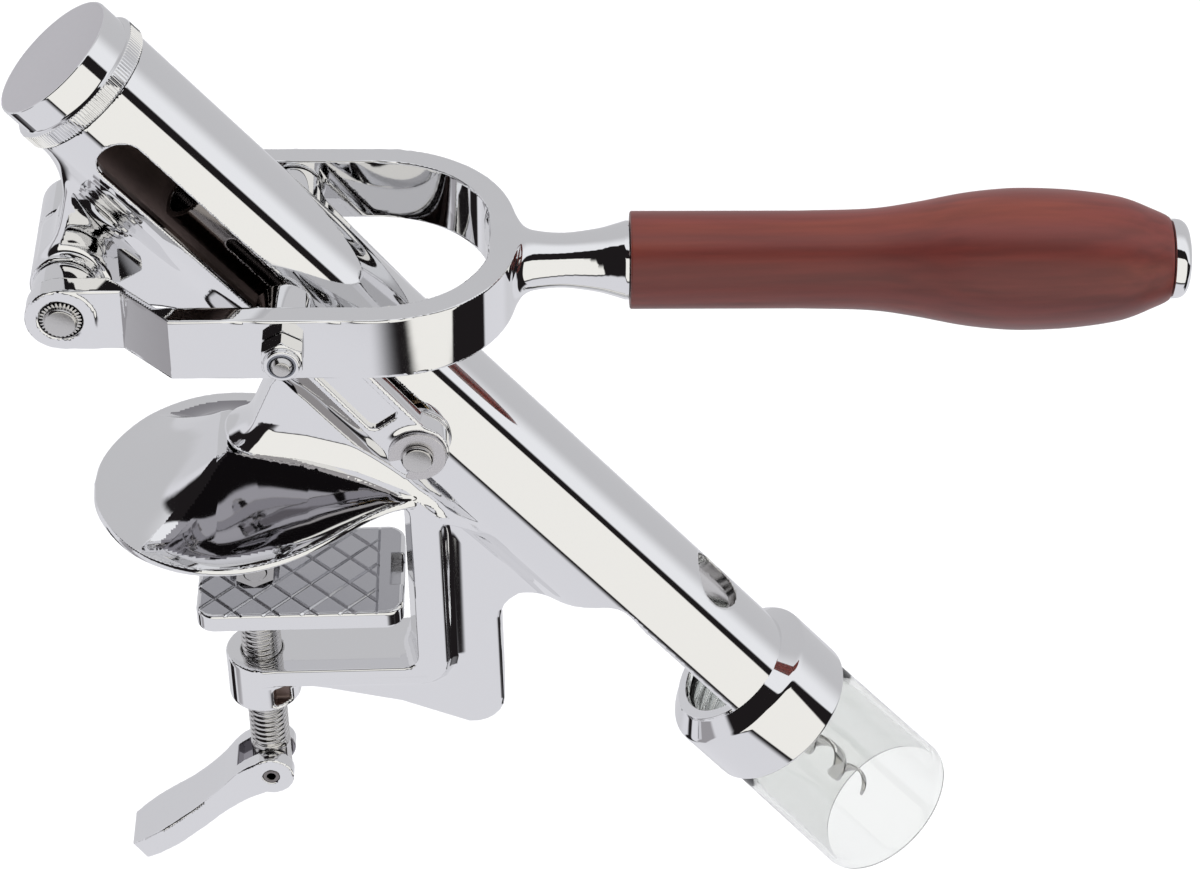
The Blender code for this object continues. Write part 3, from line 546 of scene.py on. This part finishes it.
def lock_nut_field(side):
    """Field of one lock nut: a hexagon with chamfered corners and a round collar."""
    def field(p):
        """Distance to the nut on one side."""
        x, y, z = to_local(p, CRANK_PIN, LEVER_X, LEVER_Z)
        h = y * side - NUT_SEAT
        flats = [np.abs(x * cos(a) + z * sin(a)) for a in (0.0, pi / 3, -pi / 3)]
        rho = np.hypot(x, z)
        chamfers = ((rho + h - 9.9) * 0.707, (rho - h - 5.5) * 0.707)
        nut = both(np.maximum.reduce(flats) - 5.0, -h, h - 4.7, *chamfers, r=0.15)
        collar = both(rho - 4.55, -h, h - 6.3, r=0.5)
        return carve(join(nut, collar, 0.5), both(rho - 3.3, -1.0 - h), 0.3)
    return field


# ---------------------------------------------------------------- clamp fields

def from_plate_core(x, y):
    """Distance past the plate's core rectangle, along and across the tool."""
    return np.abs(x - PLATE_MIDDLE) - 22.9, np.abs(y) - 13.0


def pressure_plate(p):
    """Plate with a scored top, a plain strip and a notch."""
    x, y, z = p[:, 0], p[:, 1], p[:, 2]
    qx, qy = from_plate_core(x, y)
    corner = np.hypot(np.maximum(qx, 0.0), np.maximum(qy, 0.0)) + np.minimum(np.maximum(qx, qy), 0.0)
    body = both(corner - PLATE_CORNER, z - PLATE_TOP, -36.8 - z, r=0.9)
    period = 10.3
    plain = 33.5                    # where the plain strip begins

    def groove(u, phase):
        """V grooves, one period apart along u."""
        off = np.abs((u - phase + period / 2) % period - period / 2) * 0.7071
        return (off - (z + 31.55)) * 0.707

    scored = np.minimum(groove(x + y, 20.3), groove(x - y, 20.9))
    step = (np.abs(x - plain) - (z + 31.5)) * 0.707
    lines = np.minimum(np.maximum(scored, x - plain), step)
    ax, ay = np.abs(x), np.abs(y)
    recess = both(np.maximum(np.maximum(ax, ay), (ax + ay) * 0.7071) - 6.6, -34.2 - z)
    notch = both(ay - 6.4, 36.9 - x, -34.7 - z)
    hole = np.hypot(x, y) - 3.3
    return carve(carve(body, lines, 0.12), np.minimum.reduce([recess, notch, hole]), 0.4)


PADDLE_TOP = spline([(-4.0, 5.0), (-9.4, 1.4), (-15.6, -6.0), (-24.0, -13.8), (-33.8, -21.2),
                     (-41.6, -27.2)], 4)
PADDLE_FOOT = spline([(-38.0, -33.2), (-28.6, -26.4), (-20.0, -19.6), (-11.8, -12.4), (-6.6, -8.8),
                      (-1.0, -6.0)], 4)
PADDLE_HALF = ([0.0, 10.0, 22.0, 38.0, 45.0, 49.5, 52.5], [8.2, 7.8, 7.3, 8.2, 7.7, 6.6, 5.2])


def paddle_field(p):
    """Forked paddle: round cheeks, waist and flat blade."""
    x, y, z = to_local(p, WING_PIVOT, np.array([1.0, 0.0, 0.0]), np.array([0.0, 0.0, 1.0]))
    head = np.hypot(x, z) - 6.4
    blade = polygon(x, z, PADDLE_TOP + PADDLE_FOOT)
    along = -(x * 0.78 + z * 0.625)
    body = both(np.minimum(head, blade), np.abs(y) - np.interp(along, *PADDLE_HALF), r=0.5)
    fork = both(np.abs(y) - 4.1, -9.5 - x, -14.0 - z)
    return carve(body, np.minimum(fork, np.hypot(x, z) - 2.45), 0.35)


# ---------------------------------------------------------------- swept and threaded pieces

def threaded(name, place, low, high, core, crest, pitch):
    """Solid screw: a cylinder whose radius follows a helical thread between low and high."""
    count = 56
    steps = int((high - low) / pitch * 14)
    rings = []
    for j in range(steps + 1):
        z = low + (high - low) * j / steps
        fade = max(0.0, min(1.0, (z - low) / (0.6 * pitch), (high - z) / (0.6 * pitch)))
        ring = []
        for i in range(count):
            a = tau * i / count
            t = (z / pitch - a / tau) % 1.0
            ridge = min(1.0, max(0.0, (0.5 - abs(t - 0.5)) * 4.2 - 0.2))
            r = core + (crest - core) * ridge * fade
            ring.append((r * cos(a), r * sin(a), z))
        rings.append(ring)
    return loft(name, rings, place, 50.0)


def worm_mesh():
    """Shank that runs into an open coil with a sharpened point."""
    start, tip, point = 204.0, 330.2, 13.0
    coil, wire, shank = 3.25, 1.55, 3.0
    count, steps = 20, 330
    rings = []
    for r, z in [(0.02, 142.6), (shank, 142.7), (shank, 151.4), (4.0, 152.0), (4.0, 196.0), (3.4, 200.0)]:
        rings.append([(r * cos(tau * i / count), r * sin(tau * i / count), z) for i in range(count)])
    for k in range(steps + 1):
        z = start + (tip - start) * k / steps
        a = tau * (z - start) / WORM_PITCH
        left = min(1.0, (tip - z) / point)
        settle = min(1.0, (z - start) / WORM_PITCH)
        settle = settle * settle * (3 - 2 * settle)
        c = coil * settle * (0.6 + 0.4 * left ** 0.8)
        w = (shank + (wire - shank) * settle) * (0.02 + 0.98 * left)
        lead = tau * c / WORM_PITCH
        tangent = Vector((-sin(a) * lead, cos(a) * lead, 1.0)).normalized()
        out = Vector((cos(a), sin(a), 0.0))
        other = tangent.cross(out)
        centre = Vector((c * cos(a), c * sin(a), z))
        flat, wide = w * (1.0 - 0.42 * settle), w * (1.0 + 0.45 * settle)
        ring = []
        for i in range(count):
            b = tau * i / count
            ring.append(tuple(centre + out * (flat * cos(b)) + other * (wide * sin(b))))
        turned = round(a / tau * count) % count
        rings.append(ring[-turned:] + ring[:-turned])
    return loft("worm_coil", rings, BARREL, 60.0)


def bell_mesh():
    """Clear bell: screwed neck, stepped shoulder, flared mouth with a rounded lip."""
    foot = [(18.2, 269.7), (19.9, 269.9), (20.1, 270.2)]
    first, count = len(foot), 48
    outer = foot + [(20.1, 270.4 + k * 0.38) for k in range(count)]
    outer += [(20.1, 289.35), (20.9, 289.4), (21.1, 289.8), (21.35, 300.0), (21.65, 318.0), (21.95, 333.0),
              (22.06, 336.6), (21.9, 337.3)]
    inner = [(20.7, 337.4), (20.4, 336.8), (20.2, 333.0), (19.9, 318.0), (19.6, 302.0), (19.4, 292.0),
             (18.4, 287.4), (18.1, 284.0)]

    def thread(i, row):
        """Depth of the neck's thread, faded at both ends."""
        if not first <= row < first + count:
            return 0.0
        t = (outer[row][1] / 3.4 - i / 96) % 1.0
        fade = min(1.0, (row - first) / 5, (first + count - row) / 5)
        return -0.75 * min(1.0, max(0.0, abs(t - 0.5) * 4.0 - 0.7)) * fade

    return lathe("bell_clear", outer + inner, BARREL, 96, thread, True, 40.0)


# ---------------------------------------------------------------- materials

def principled(name, colour, roughness, metallic=0.0, **more):
    """New material and its shader node; more sets other sockets by name."""
    mat = bpy.data.materials.new(name)
    mat.use_nodes = True
    shader = mat.node_tree.nodes["Principled BSDF"]
    shader.inputs["Base Color"].default_value = (*colour, 1.0)
    shader.inputs["Metallic"].default_value = metallic
    shader.inputs["Roughness"].default_value = roughness
    for key, value in more.items():
        shader.inputs[key.replace("_", " ")].default_value = value
    return mat, shader


def grain(tree, scale, stretch=(1.0, 1.0, 1.0), detail=4.0):
    """Noise over the piece's own coordinates, stretched by an axis."""
    place = tree.nodes.new("ShaderNodeTexCoord")
    mapping = tree.nodes.new("ShaderNodeMapping")
    mapping.inputs["Scale"].default_value = stretch
    noise = tree.nodes.new("ShaderNodeTexNoise")
    noise.inputs["Scale"].default_value = scale
    noise.inputs["Detail"].default_value = detail
    tree.links.new(place.outputs["Object"], mapping.inputs["Vector"])
    tree.links.new(mapping.outputs["Vector"], noise.inputs["Vector"])
    return noise


def relief(shader, noise, strength, distance=None):
    """Fine bumps from a noise, their height in metres."""
    tree = shader.id_data
    bump = tree.nodes.new("ShaderNodeBump")
    bump.inputs["Strength"].default_value = strength
    if distance is not None:
        bump.inputs["Distance"].default_value = distance
    tree.links.new(noise.outputs["Fac"], bump.inputs["Height"])
    tree.links.new(bump.outputs["Normal"], shader.inputs["Normal"])


def ramp(source, stops):
    """Colour ramp over a noise, from (position, colour) stops."""
    tree = source.id_data
    node = tree.nodes.new("ShaderNodeValToRGB")
    while len(node.color_ramp.elements) < len(stops):
        node.color_ramp.elements.new(0.5)
    for element, (at, colour) in zip(node.color_ramp.elements, stops):
        element.position = at
        element.color = (*colour, 1.0)
    tree.links.new(source.outputs["Fac"], node.inputs["Fac"])
    return node


def metal(name, colour, rough, spread, scale, bump, distance=0.00002):
    """Metal with noise in its roughness and in its surface."""
    mat, shader = principled(name, colour, rough, 1.0)
    tree = mat.node_tree
    noise = grain(tree, scale)
    span = tree.nodes.new("ShaderNodeMapRange")
    span.inputs["To Min"].default_value = max(rough - spread, 0.0)
    span.inputs["To Max"].default_value = rough + spread
    tree.links.new(noise.outputs["Fac"], span.inputs["Value"])
    tree.links.new(span.outputs["Result"], shader.inputs["Roughness"])
    relief(shader, noise, bump, distance)
    return mat


def wood(name):
    """Reddish stained hardwood under a satin varnish, its grain along the grip."""
    mat, shader = principled(name, (0.16, 0.03, 0.02), 0.4, Coat_Weight=0.12, Coat_Roughness=0.3)
    tree = mat.node_tree
    broad = grain(tree, 60.0, (0.12, 1.0, 1.0), 3.0)
    fine = grain(tree, 420.0, (0.05, 1.0, 1.0), 6.0)
    colour = ramp(broad, [(0.3, (0.138, 0.021, 0.017)), (0.5, (0.168, 0.027, 0.019)),
                          (0.7, (0.215, 0.040, 0.019))])
    lines = ramp(fine, [(0.35, (0.6, 0.6, 0.6)), (0.62, (1.0, 1.0, 1.0))])
    mix = tree.nodes.new("ShaderNodeMix")
    mix.data_type = "RGBA"
    mix.blend_type = "MULTIPLY"
    mix.inputs["Factor"].default_value = 0.6
    tree.links.new(colour.outputs["Color"], mix.inputs["A"])
    tree.links.new(lines.outputs["Color"], mix.inputs["B"])
    tree.links.new(mix.outputs["Result"], shader.inputs["Base Color"])
    relief(shader, fine, 0.12, 0.0001)
    return mat


def moulded(name, colour, rough, scale, strength, distance, **more):
    """Moulded plastic or rubber with a faintly uneven surface."""
    mat, shader = principled(name, colour, rough, **more)
    relief(shader, grain(mat.node_tree, scale), strength, distance)
    return mat


CHROME = metal("chrome_polished", (0.83, 0.83, 0.835), 0.035, 0.02, 350.0, 0.03, 0.00004)
SATIN = metal("chrome_satin", (0.70, 0.685, 0.70), 0.34, 0.06, 900.0, 0.2)
STEEL = metal("steel_plated", (0.62, 0.61, 0.60), 0.17, 0.06, 1600.0, 0.35)
DARK = metal("steel_oiled", (0.25, 0.23, 0.225), 0.16, 0.05, 900.0, 0.1)
# Bore metal: rough and unpolished, its dark brown colour painted shade; also used as painted shade in the
# boss's pocket.
BORE = metal("bore_unpolished_painted_shade", (0.22, 0.165, 0.15), 0.46, 0.08, 500.0, 0.3)
BRASS = metal("brass_turned", (0.62, 0.44, 0.2), 0.25, 0.08, 900.0, 0.2)
# Darker chrome: painted shade for the dish under the saddle's lip and the inside of the paddle's fork.
SHADED = metal("chrome_painted_shade", (0.30, 0.29, 0.31), 0.05, 0.02, 350.0, 0.03, 0.00004)
SCORED = metal("plate_cast", (0.52, 0.52, 0.54), 0.2, 0.06, 700.0, 0.5, 0.00008)
WOOD = wood("wood_stained")
CLEAR = moulded("plastic_clear", (0.79, 0.80, 0.79), 0.0, 90.0, 0.05, 0.0001, IOR=1.42,
                Transmission_Weight=1.0)
RUBBER = moulded("rubber_black", (0.03, 0.03, 0.03), 0.6, 900.0, 0.2, 0.00005)
NYLON = moulded("nylon_ring", (0.2, 0.21, 0.25), 0.35, 900.0, 0.2, 0.00005)


# ---------------------------------------------------------------- assembly

def place_piece(obj, mat, body, slot, *nodes):
    """Give a piece its material, its body and the nodes it replaces; the slot argument is not used."""
    obj.data.materials.clear()
    obj.data.materials.append(mat)
    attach(obj, body)
    if nodes:
        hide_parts(*nodes)


def face_centres(obj):
    """Centres of a piece's faces, in millimetres."""
    centres = np.empty(len(obj.data.polygons) * 3)
    obj.data.polygons.foreach_get("center", centres)
    return centres.reshape(-1, 3) / MM


def assign(obj, kind, *mats):
    """Add materials to a piece and give each face its number."""
    for mat in mats:
        obj.data.materials.append(mat)
    obj.data.polygons.foreach_set("material_index", kind.astype(np.int32))


def frame_pieces():
    """Casting, end cap, collar, bell and gasket."""
    cast = surface("casting", casting, (-52.0, -42.0, -95.0), (165.0, 42.0, 142.0), 0.62)
    place_piece(cast, CHROME, "frame", "frame_casting", "frame_casting")
    middle = face_centres(cast)
    rel = middle - BARREL_TOP
    s, n = rel @ ALONG, rel @ ABOVE
    radius = np.hypot(n, middle[:, 1])
    x, y, z = middle[:, 0], middle[:, 1], middle[:, 2]
    ay = np.abs(y)
    # Faces of the bore get the bore metal, whose dark colour is painted shade inside the barrel.
    kind = ((radius < BORE_R + 1.6) & (s > 10.0) & (s < 200.0)) * 1
    kind[(radius < BORE_R + 2.9) & (s >= 200.0)] = 2
    # Faces of the dish under the neck's lip get the darker chrome: painted shade in the recess.
    painted_shade_scoop = (0.7 * (x + 4.7) + 0.714 * (ay - 10.0) > 0.4) & (ay > 8.4) & (z > 2.6) & (x < 44.0)
    painted_shade_scoop &= polygon(x, y, SADDLE_PLAN) < -0.9
    painted_shade_scoop &= z < np.interp(x, [-4.6, 17.3, 43.0], [19.6, 13.8, 2.6])
    kind[painted_shade_scoop] = 3
    # Faces of the screw boss's pocket get the dark bore metal: painted shade in the pocket.
    pocket = (np.abs(x - 5.3) < 2.4) & (y < -4.0) & (np.abs(z + 69.8) < 3.2)
    kind[pocket & (np.hypot(x, ay) < 9.4)] = 1
    assign(cast, kind, BORE, STEEL, SHADED)

    profile = ease([(0.01, 0.0), (17.67, 0.0), (17.67, 7.2), (19.1, 7.5), (19.1, 11.75), (18.5, 12.1),
                    (14.6, 12.1), (14.6, 14.2), (13.3, 14.2), (13.3, 2.7), (0.01, 2.7)], 0.45)
    ridged = [row for row, point in enumerate(profile) if point[0] > 18.95]
    cap = lathe("cap", profile, BARREL, 520, lambda i, row: -0.5 * (i % 4 > 1) if row in ridged else 0.0)
    place_piece(cap, CHROME, "frame", "end_cap", "end_cap")
    top = (face_centres(cap) - BARREL_TOP) @ ALONG < 0.02
    assign(cap, top, SATIN)

    collar = lathe("collar", ease(COLLAR + COLLAR[:1], 0.35)[:-1], BARREL, 120, tube=True)
    place_piece(collar, CHROME, "frame", "frame_casting")
    place_piece(bell_mesh(), CLEAR, "frame", "bell", "bell")
    profile = ease([(15.3, 268.1), (18.5, 268.2), (19.8, 269.2), (19.8, 269.4), (15.3, 269.4),
                    (15.3, 268.6)], 0.1)
    gasket = lathe("gasket", profile, BARREL, tube=True)
    place_piece(gasket, RUBBER, "frame", "bell_gasket", "bell_gasket")


def lever_pieces():
    """Stirrup, grip and its nut, hinge pin and spacer, pivot bolts and lock nuts."""
    yoke = surface("stirrup", lever_yoke, (-52.0, -39.0, 60.0), (106.0, 39.0, 92.0), 0.6)
    place_piece(yoke, CHROME, "lever", "lever_yoke", "lever_yoke")
    profile = ease([(4.4, 142.25), (12.2, 142.25), (12.5, 142.6), (12.49, 150.0)], 0.3) + spline(
        [(12.49, 185.5), (12.95, 203.1), (14.56, 214.9), (16.79, 226.6), (17.89, 236.1), (18.14, 244.3),
         (17.53, 256.1), (15.71, 267.9), (12.5, 276.3), (11.3, 279.0)], 6) + [(10.7, 279.9), (4.4, 280.05)]
    grip = lathe("grip", profile, LEVER_AXIS, 96, tube=True)
    place_piece(grip, WOOD, "lever", "handle_grip", "handle_grip")
    profile = [(0.01, 280.3), (9.9, 280.3), (10.2, 280.6)] + spline(
        [(10.2, 281.6), (9.8, 283.2), (8.3, 284.5), (5.0, 285.2), (0.01, 285.4)], 4)
    place_piece(lathe("grip_nut", profile, LEVER_AXIS), CHROME, "lever", "grip_end_nut", "grip_end_nut")

    profile = ease([(0.01, -26.2), (3.8, -26.2), (4.2, -25.7), (4.2, -24.7), (5.3, -24.6), (5.3, -20.0),
                    (4.6, -19.5), (4.6, 19.5), (5.3, 20.0), (5.3, 24.6), (4.2, 24.7), (4.2, 25.7),
                    (3.8, 26.2), (0.01, 26.2)], 0.15)
    teeth = [row for row, point in enumerate(profile) if point[0] > 5.1]
    pin = lathe("hinge_pin_knurled", profile, turn_y(LEVER, 0.0, -1.0), 150,
                lambda i, row: -0.95 * (i % 5 > 2) if row in teeth else 0.0)
    place_piece(pin, STEEL, "lever", "hinge_pin", "hinge_pin")
    profile = ease([(5.0, 11.0), (8.3, 11.0), (8.3, 18.2), (5.0, 18.2), (5.0, 14.0)], 0.5)
    spacer = lathe("spacer", profile, turn_y(LEVER, 0.0, -1.0), tube=True)
    place_piece(spacer, CHROME, "lever", "hinge_spacer", "hinge_spacer")

    shaft = ease([(0.01, 19.5), (4.6, 19.5), (5.2, 19.8), (5.2, 20.6), (2.9, 20.6), (2.9, 43.4),
                  (2.1, 44.9), (0.01, 44.9)], 0.25)
    insert = ease([(3.1, 42.6), (3.6, 43.2), (3.6, 43.6), (3.1, 43.65), (3.1, 43.2)], 0.1)
    for word, side in SIDES:
        base = turn_y(LEVER, CRANK, side)
        bolt = lathe("crank_bolt_" + word, shaft, base, 48)
        place_piece(bolt, STEEL, "lever", "pivot_bolt_" + word, "pivot_bolt_" + word)
        centre = CRANK_PIN + ACROSS * side * (NUT_SEAT + 3.3)
        nut = surface("nut_" + word, lock_nut_field(side), centre - 7.0, centre + 7.0, 0.25)
        place_piece(nut, CHROME, "lever", "lock_nut_" + word, "lock_nut_" + word)
        ring = lathe("nylon_" + word, insert, base, 48, tube=True)
        place_piece(ring, NYLON, "lever", "lock_nut_" + word)


def link_pieces():
    """Connecting links with their studs, washers and clips."""
    shaft = ease([(0.01, 18.7), (4.0, 18.7), (4.0, 27.4), (3.3, 27.4), (3.3, 29.1), (4.1, 29.1),
                  (4.1, 30.0), (3.6, 30.5), (0.01, 30.5)], 0.15)
    flat = ease([(4.3, 19.3), (8.7, 19.3), (8.7, 20.6), (4.3, 20.6), (4.3, 20.0)], 0.2)
    for word, side in SIDES:
        inner, outer = sorted((20.0 * side, 32.0 * side))
        bar = surface("bar_" + word, link_field(side), (6.0, inner, 18.0), (58.0, outer, 84.0), 0.45)
        place_piece(bar, CHROME, "links", "link_" + word, "link_" + word)
        base = turn_y(LINK, LINK_LENGTH, side)
        stud = lathe("stud_" + word, shaft, base, 48)
        place_piece(stud, STEEL, "links", "link_stud_" + word, "link_stud_" + word)
        washer = lathe("washer_" + word, flat, base, tube=True)
        place_piece(washer, CHROME, "links", "link_washer_" + word, "link_washer_" + word)
        place_piece(clip_mesh("ring_" + word, base), SATIN, "links", "clip_" + word, "clip_" + word)


def clip_mesh(name, place):
    """Open spring clip: a flat horseshoe with eased edges."""
    start, sweep = -62, 304
    outer, inner = 7.5, 3.55
    middle = 5.5
    outline = [(outer, radians(start + sweep * k / 40)) for k in range(41)]
    outline += [(inner, radians(start + sweep - sweep * k / 30)) for k in range(31)]
    rings = []
    for z, inset in ((27.7, 0.2), (27.85, 0.0), (28.75, 0.0), (28.9, 0.2)):
        ring = []
        for r, a in outline:
            r -= inset * (1 if r > middle else -1)
            ring.append((r * cos(a), r * sin(a), z))
        rings.append(ring)
    return loft(name, rings, place)


def inner_pieces():
    """Stop sleeve and worm; the shared parts seen through the windows get their metals."""
    place_piece(frame_sleeve(), DARK, "sleeve_assembly", "stop_sleeve", "stop_sleeve")
    place_piece(worm_mesh(), STEEL, "worm_assembly", "worm", "worm")
    metals = {DARK: ("carriage", "cross_pin", "swivel_block"),
              BRASS: ("slot_bush_near", "slot_bush_far", "thrust_washer"),
              STEEL: ("shank_nut", "worm_nut", "handle_tang", "plate_nut")}
    for mat, nodes in metals.items():
        for node in nodes:
            for held in bpy.data.objects[node].material_slots:
                held.material = mat


def frame_sleeve():
    """Stop sleeve with a narrow slot through each side."""
    first, last, margin = 50.0, 213.0, 2.0

    def field(p):
        """Distance to the sleeve."""
        rel = p - BARREL_TOP
        s, n = rel @ ALONG, rel @ ABOVE
        r = np.hypot(n, p[:, 1])
        tube = both(r - SLEEVE_R, 8.4 - r, first - s, s - last, r=0.3)
        slot = both(stadium(s, n, 64.6, 139.5, 1.6), 6.0 - np.abs(p[:, 1]))
        return carve(tube, slot, 0.3)

    upper, lower = BARREL_TOP + ALONG * (first - margin), BARREL_TOP + ALONG * (last + margin)
    return surface("sleeve", field, (upper[0] - 9.0, -11.0, lower[2] - 9.0),
                   (lower[0] + 9.0, 11.0, upper[2] + 9.0), 0.7)


def tongue(p):
    """Flat end of the spindle, which the paddle's fork holds."""
    x, y, z = p[:, 0], p[:, 1], p[:, 2]
    rho = np.hypot(x, y)
    blade = both(rho - SPINDLE_R, np.abs(y) - 3.7, -107.0 - z, z + 93.0, r=0.6)
    shoulder = both(rho - 5.3, -94.0 - z, z + 92.0, r=0.5)
    return carve(join(blade, shoulder, 0.8), np.hypot(x, z - WING_PIVOT[2]) - 2.5, 0.3)


def clamp_pieces():
    """Pressure plate, spindle, paddle and its roll pin."""
    plate = surface("plate", pressure_plate, (-17.0, -19.0, -38.0), (42.0, 19.0, -30.0), 0.35)
    place_piece(plate, SCORED, "clamp_plate", "pressure_plate", "pressure_plate")
    x, y, z = face_centres(plate).T
    qx, qy = from_plate_core(x, y)
    corner = np.hypot(np.maximum(qx, 0.0), np.maximum(qy, 0.0))
    edge = (z < -34.9) | (corner > 4.0) | (np.abs(y) > 17.0) | (np.abs(x - PLATE_MIDDLE) > 27.2)
    assign(plate, edge, CHROME)

    screw = threaded("spindle_thread", WORLD, -92.5, -37.1, 4.95, SPINDLE_R, 1.75)
    place_piece(screw, STEEL, "clamp_spindle", "clamp_screw", "clamp_screw")
    profile = ease([(0.01, -37.4), (3.0, -37.4), (3.0, -31.8), (0.01, -31.8)], 0.3)
    place_piece(lathe("spindle_neck", profile, WORLD, 32), STEEL, "clamp_spindle", "clamp_screw")
    foot = surface("spindle_tongue", tongue, (-7.0, -7.0, -109.0), (7.0, 7.0, -91.0), 0.4)
    place_piece(foot, STEEL, "clamp_spindle", "clamp_screw")

    paddle = surface("paddle", paddle_field, (-44.0, -10.0, -135.0), (9.0, 10.0, -92.0), 0.6)
    place_piece(paddle, CHROME, "paddle", "wing_handle", "wing_handle")
    x, y = face_centres(paddle).T[:2]
    # Faces inside the paddle's fork get the darker chrome: painted shade.
    assign(paddle, (np.abs(y) < 4.3) & (x > -9.9), SHADED)
    profile = ease([(1.25, -8.1), (2.3, -8.1), (2.3, 8.1), (1.25, 8.1), (1.25, 0.0)], 0.2)
    pin = lathe("roll_pin", profile, turn_y(WING, 0.0, -1.0), 40, tube=True)
    place_piece(pin, DARK, "paddle", "wing_pin", "wing_pin")


frame_pieces()
lever_pieces()
link_pieces()
inner_pieces()
clamp_pieces()

# ---------------------------------------------------------------- floor, light and camera

def backdrop():
    """Pale floor well below the tool."""
    half, below = 6.0, 0.32
    corners = [(-half, -half, 0), (half, -half, 0), (half, half, 0), (-half, half, 0)]
    mesh = bpy.data.meshes.new("floor")
    mesh.from_pydata(corners, [], [(0, 1, 2, 3)])
    obj = linked("floor", mesh)
    obj.location.z = -below
    obj.visible_glossy = False
    mat, shader = principled("floor_paper", (0.92, 0.92, 0.92), 0.9)
    relief(shader, grain(mat.node_tree, 40.0), 0.02)
    mesh.materials.append(mat)


def studio():
    """A sun, and a world of white panels with dark gaps; the camera itself sees plain white."""
    sky = bpy.data.worlds.new("studio")
    bpy.context.scene.world = sky
    sky.use_nodes = True
    nodes, links = sky.node_tree.nodes, sky.node_tree.links
    direction = nodes.new("ShaderNodeTexCoord").outputs["Generated"]

    def across(*axis):
        """How far a direction leans along an axis."""
        node = nodes.new("ShaderNodeVectorMath")
        node.operation = "DOT_PRODUCT"
        links.new(direction, node.inputs[0])
        node.inputs[1].default_value = axis
        return node.outputs["Value"]

    def above(value, low, high):
        """Mask that rises from 0 at low to 1 at high."""
        node = nodes.new("ShaderNodeMapRange")
        node.interpolation_type = "SMOOTHSTEP"
        node.inputs["From Min"].default_value = low
        node.inputs["From Max"].default_value = high
        links.new(value, node.inputs["Value"])
        return node.outputs["Result"]

    def sums(operation, first, second):
        """Result of an operation on two values or masks."""
        node = nodes.new("ShaderNodeMath")
        node.operation = operation
        for socket, value in zip(node.inputs, (first, second)):
            if isinstance(value, float):
                socket.default_value = value
            else:
                links.new(value, socket)
        return node.outputs["Value"]

    def blend(mask, under, over):
        """Colour over where the mask is 1, colour under where it is 0."""
        node = nodes.new("ShaderNodeMix")
        node.data_type = "RGBA"
        for key, value in (("Factor", mask), ("A", under), ("B", over)):
            socket = [i for i in node.inputs if i.name == key and i.enabled][0]
            if isinstance(value, tuple):
                socket.default_value = (*value, 1.0)
            else:
                links.new(value, socket)
        return [o for o in node.outputs if o.enabled][0]

    x, y = across(1.0, 0.0, 0.0), across(0.0, 1.0, 0.0)
    top_edge = across(0.17, 0.65, 0.74)
    foot_edge = across(0.47, -0.46, 0.75)
    right_edge = across(-0.364, -0.923, 0.129)
    side_edge = across(0.195, 0.883, 0.426)
    left_edge = across(0.92, -0.25, -0.1)

    front = sums("MULTIPLY", above(top_edge, -0.015, -0.035), above(foot_edge, 0.0, 0.025))
    front = sums("MULTIPLY", front, above(right_edge, 0.0, 0.03))
    front = sums("MULTIPLY", front, above(left_edge, -0.16, -0.1))
    gap = sums("MULTIPLY", sums("SUBTRACT", 1.0, x), 0.34)
    over = sums("SUBTRACT", top_edge, gap)
    over = sums("MULTIPLY", above(over, 0.01, 0.04), above(side_edge, 0.0, 0.05))
    under = above(foot_edge, -0.015, -0.13)
    wedge = sums("MULTIPLY", above(right_edge, 0.02, -0.02), above(side_edge, 0.0, -0.04))
    wedge = sums("MULTIPLY", wedge, above(across(0.0, 0.0, 1.0), -0.86, -0.78))
    under = sums("MULTIPLY", under, sums("SUBTRACT", 1.0, wedge))
    back = above(y, -0.02, 0.42)
    overhead = blend(back, (0.93, 0.94, 0.97), (0.60, 0.60, 0.62))
    floor = blend(above(y, 0.45, 0.6), (0.78, 0.78, 0.82), (0.68, 0.68, 0.71))
    left = sums("MULTIPLY", above(y, 0.12, 0.06), above(y, -0.2, -0.14))
    left = sums("MULTIPLY", left, above(x, -0.70, -0.74))
    floor = blend(left, floor, (0.36, 0.35, 0.37))
    colour = blend(under, (0.014, 0.012, 0.013), floor)
    colour = blend(over, colour, overhead)
    colour = blend(front, colour, (1.0, 0.985, 0.94))
    path = nodes.new("ShaderNodeLightPath")
    colour = blend(path.outputs["Is Camera Ray"], colour, (1.0, 1.0, 1.0))
    links.new(colour, nodes["Background"].inputs["Color"])

    data = bpy.data.lights.new("overhead", "SUN")
    data.energy = 2.3
    data.angle = 1.6
    lamp = linked("overhead", data)
    lamp.rotation_euler = (radians(-18), radians(10), 0.0)
    lamp.visible_glossy = False


def camera():
    """Long lens in front of the tool, looking down."""
    data = bpy.data.cameras.new("camera")
    data.lens = 111.1791
    data.sensor_width = 36.0
    data.clip_end = 50.0
    obj = linked("camera", data)
    place = Vector((86.1, -758.2, 635.5)) * MM
    yaw, pitch, roll = radians(0.63), radians(39.37), radians(-0.94)
    forward = Vector((sin(yaw) * cos(pitch), cos(yaw) * cos(pitch), -sin(pitch)))
    right = Vector((cos(yaw), -sin(yaw), 0.0))
    up = right.cross(forward)
    side = right * cos(roll) + up * sin(roll)
    top = up * cos(roll) - right * sin(roll)
    turn = Matrix((side, top, -forward)).transposed().to_4x4()
    obj.matrix_world = Matrix.Translation(place) @ turn
    bpy.context.scene.camera = obj


backdrop()
studio()
camera()
bpy.context.scene.view_settings.view_transform = "Standard"

bpy.context.view_layer.update()
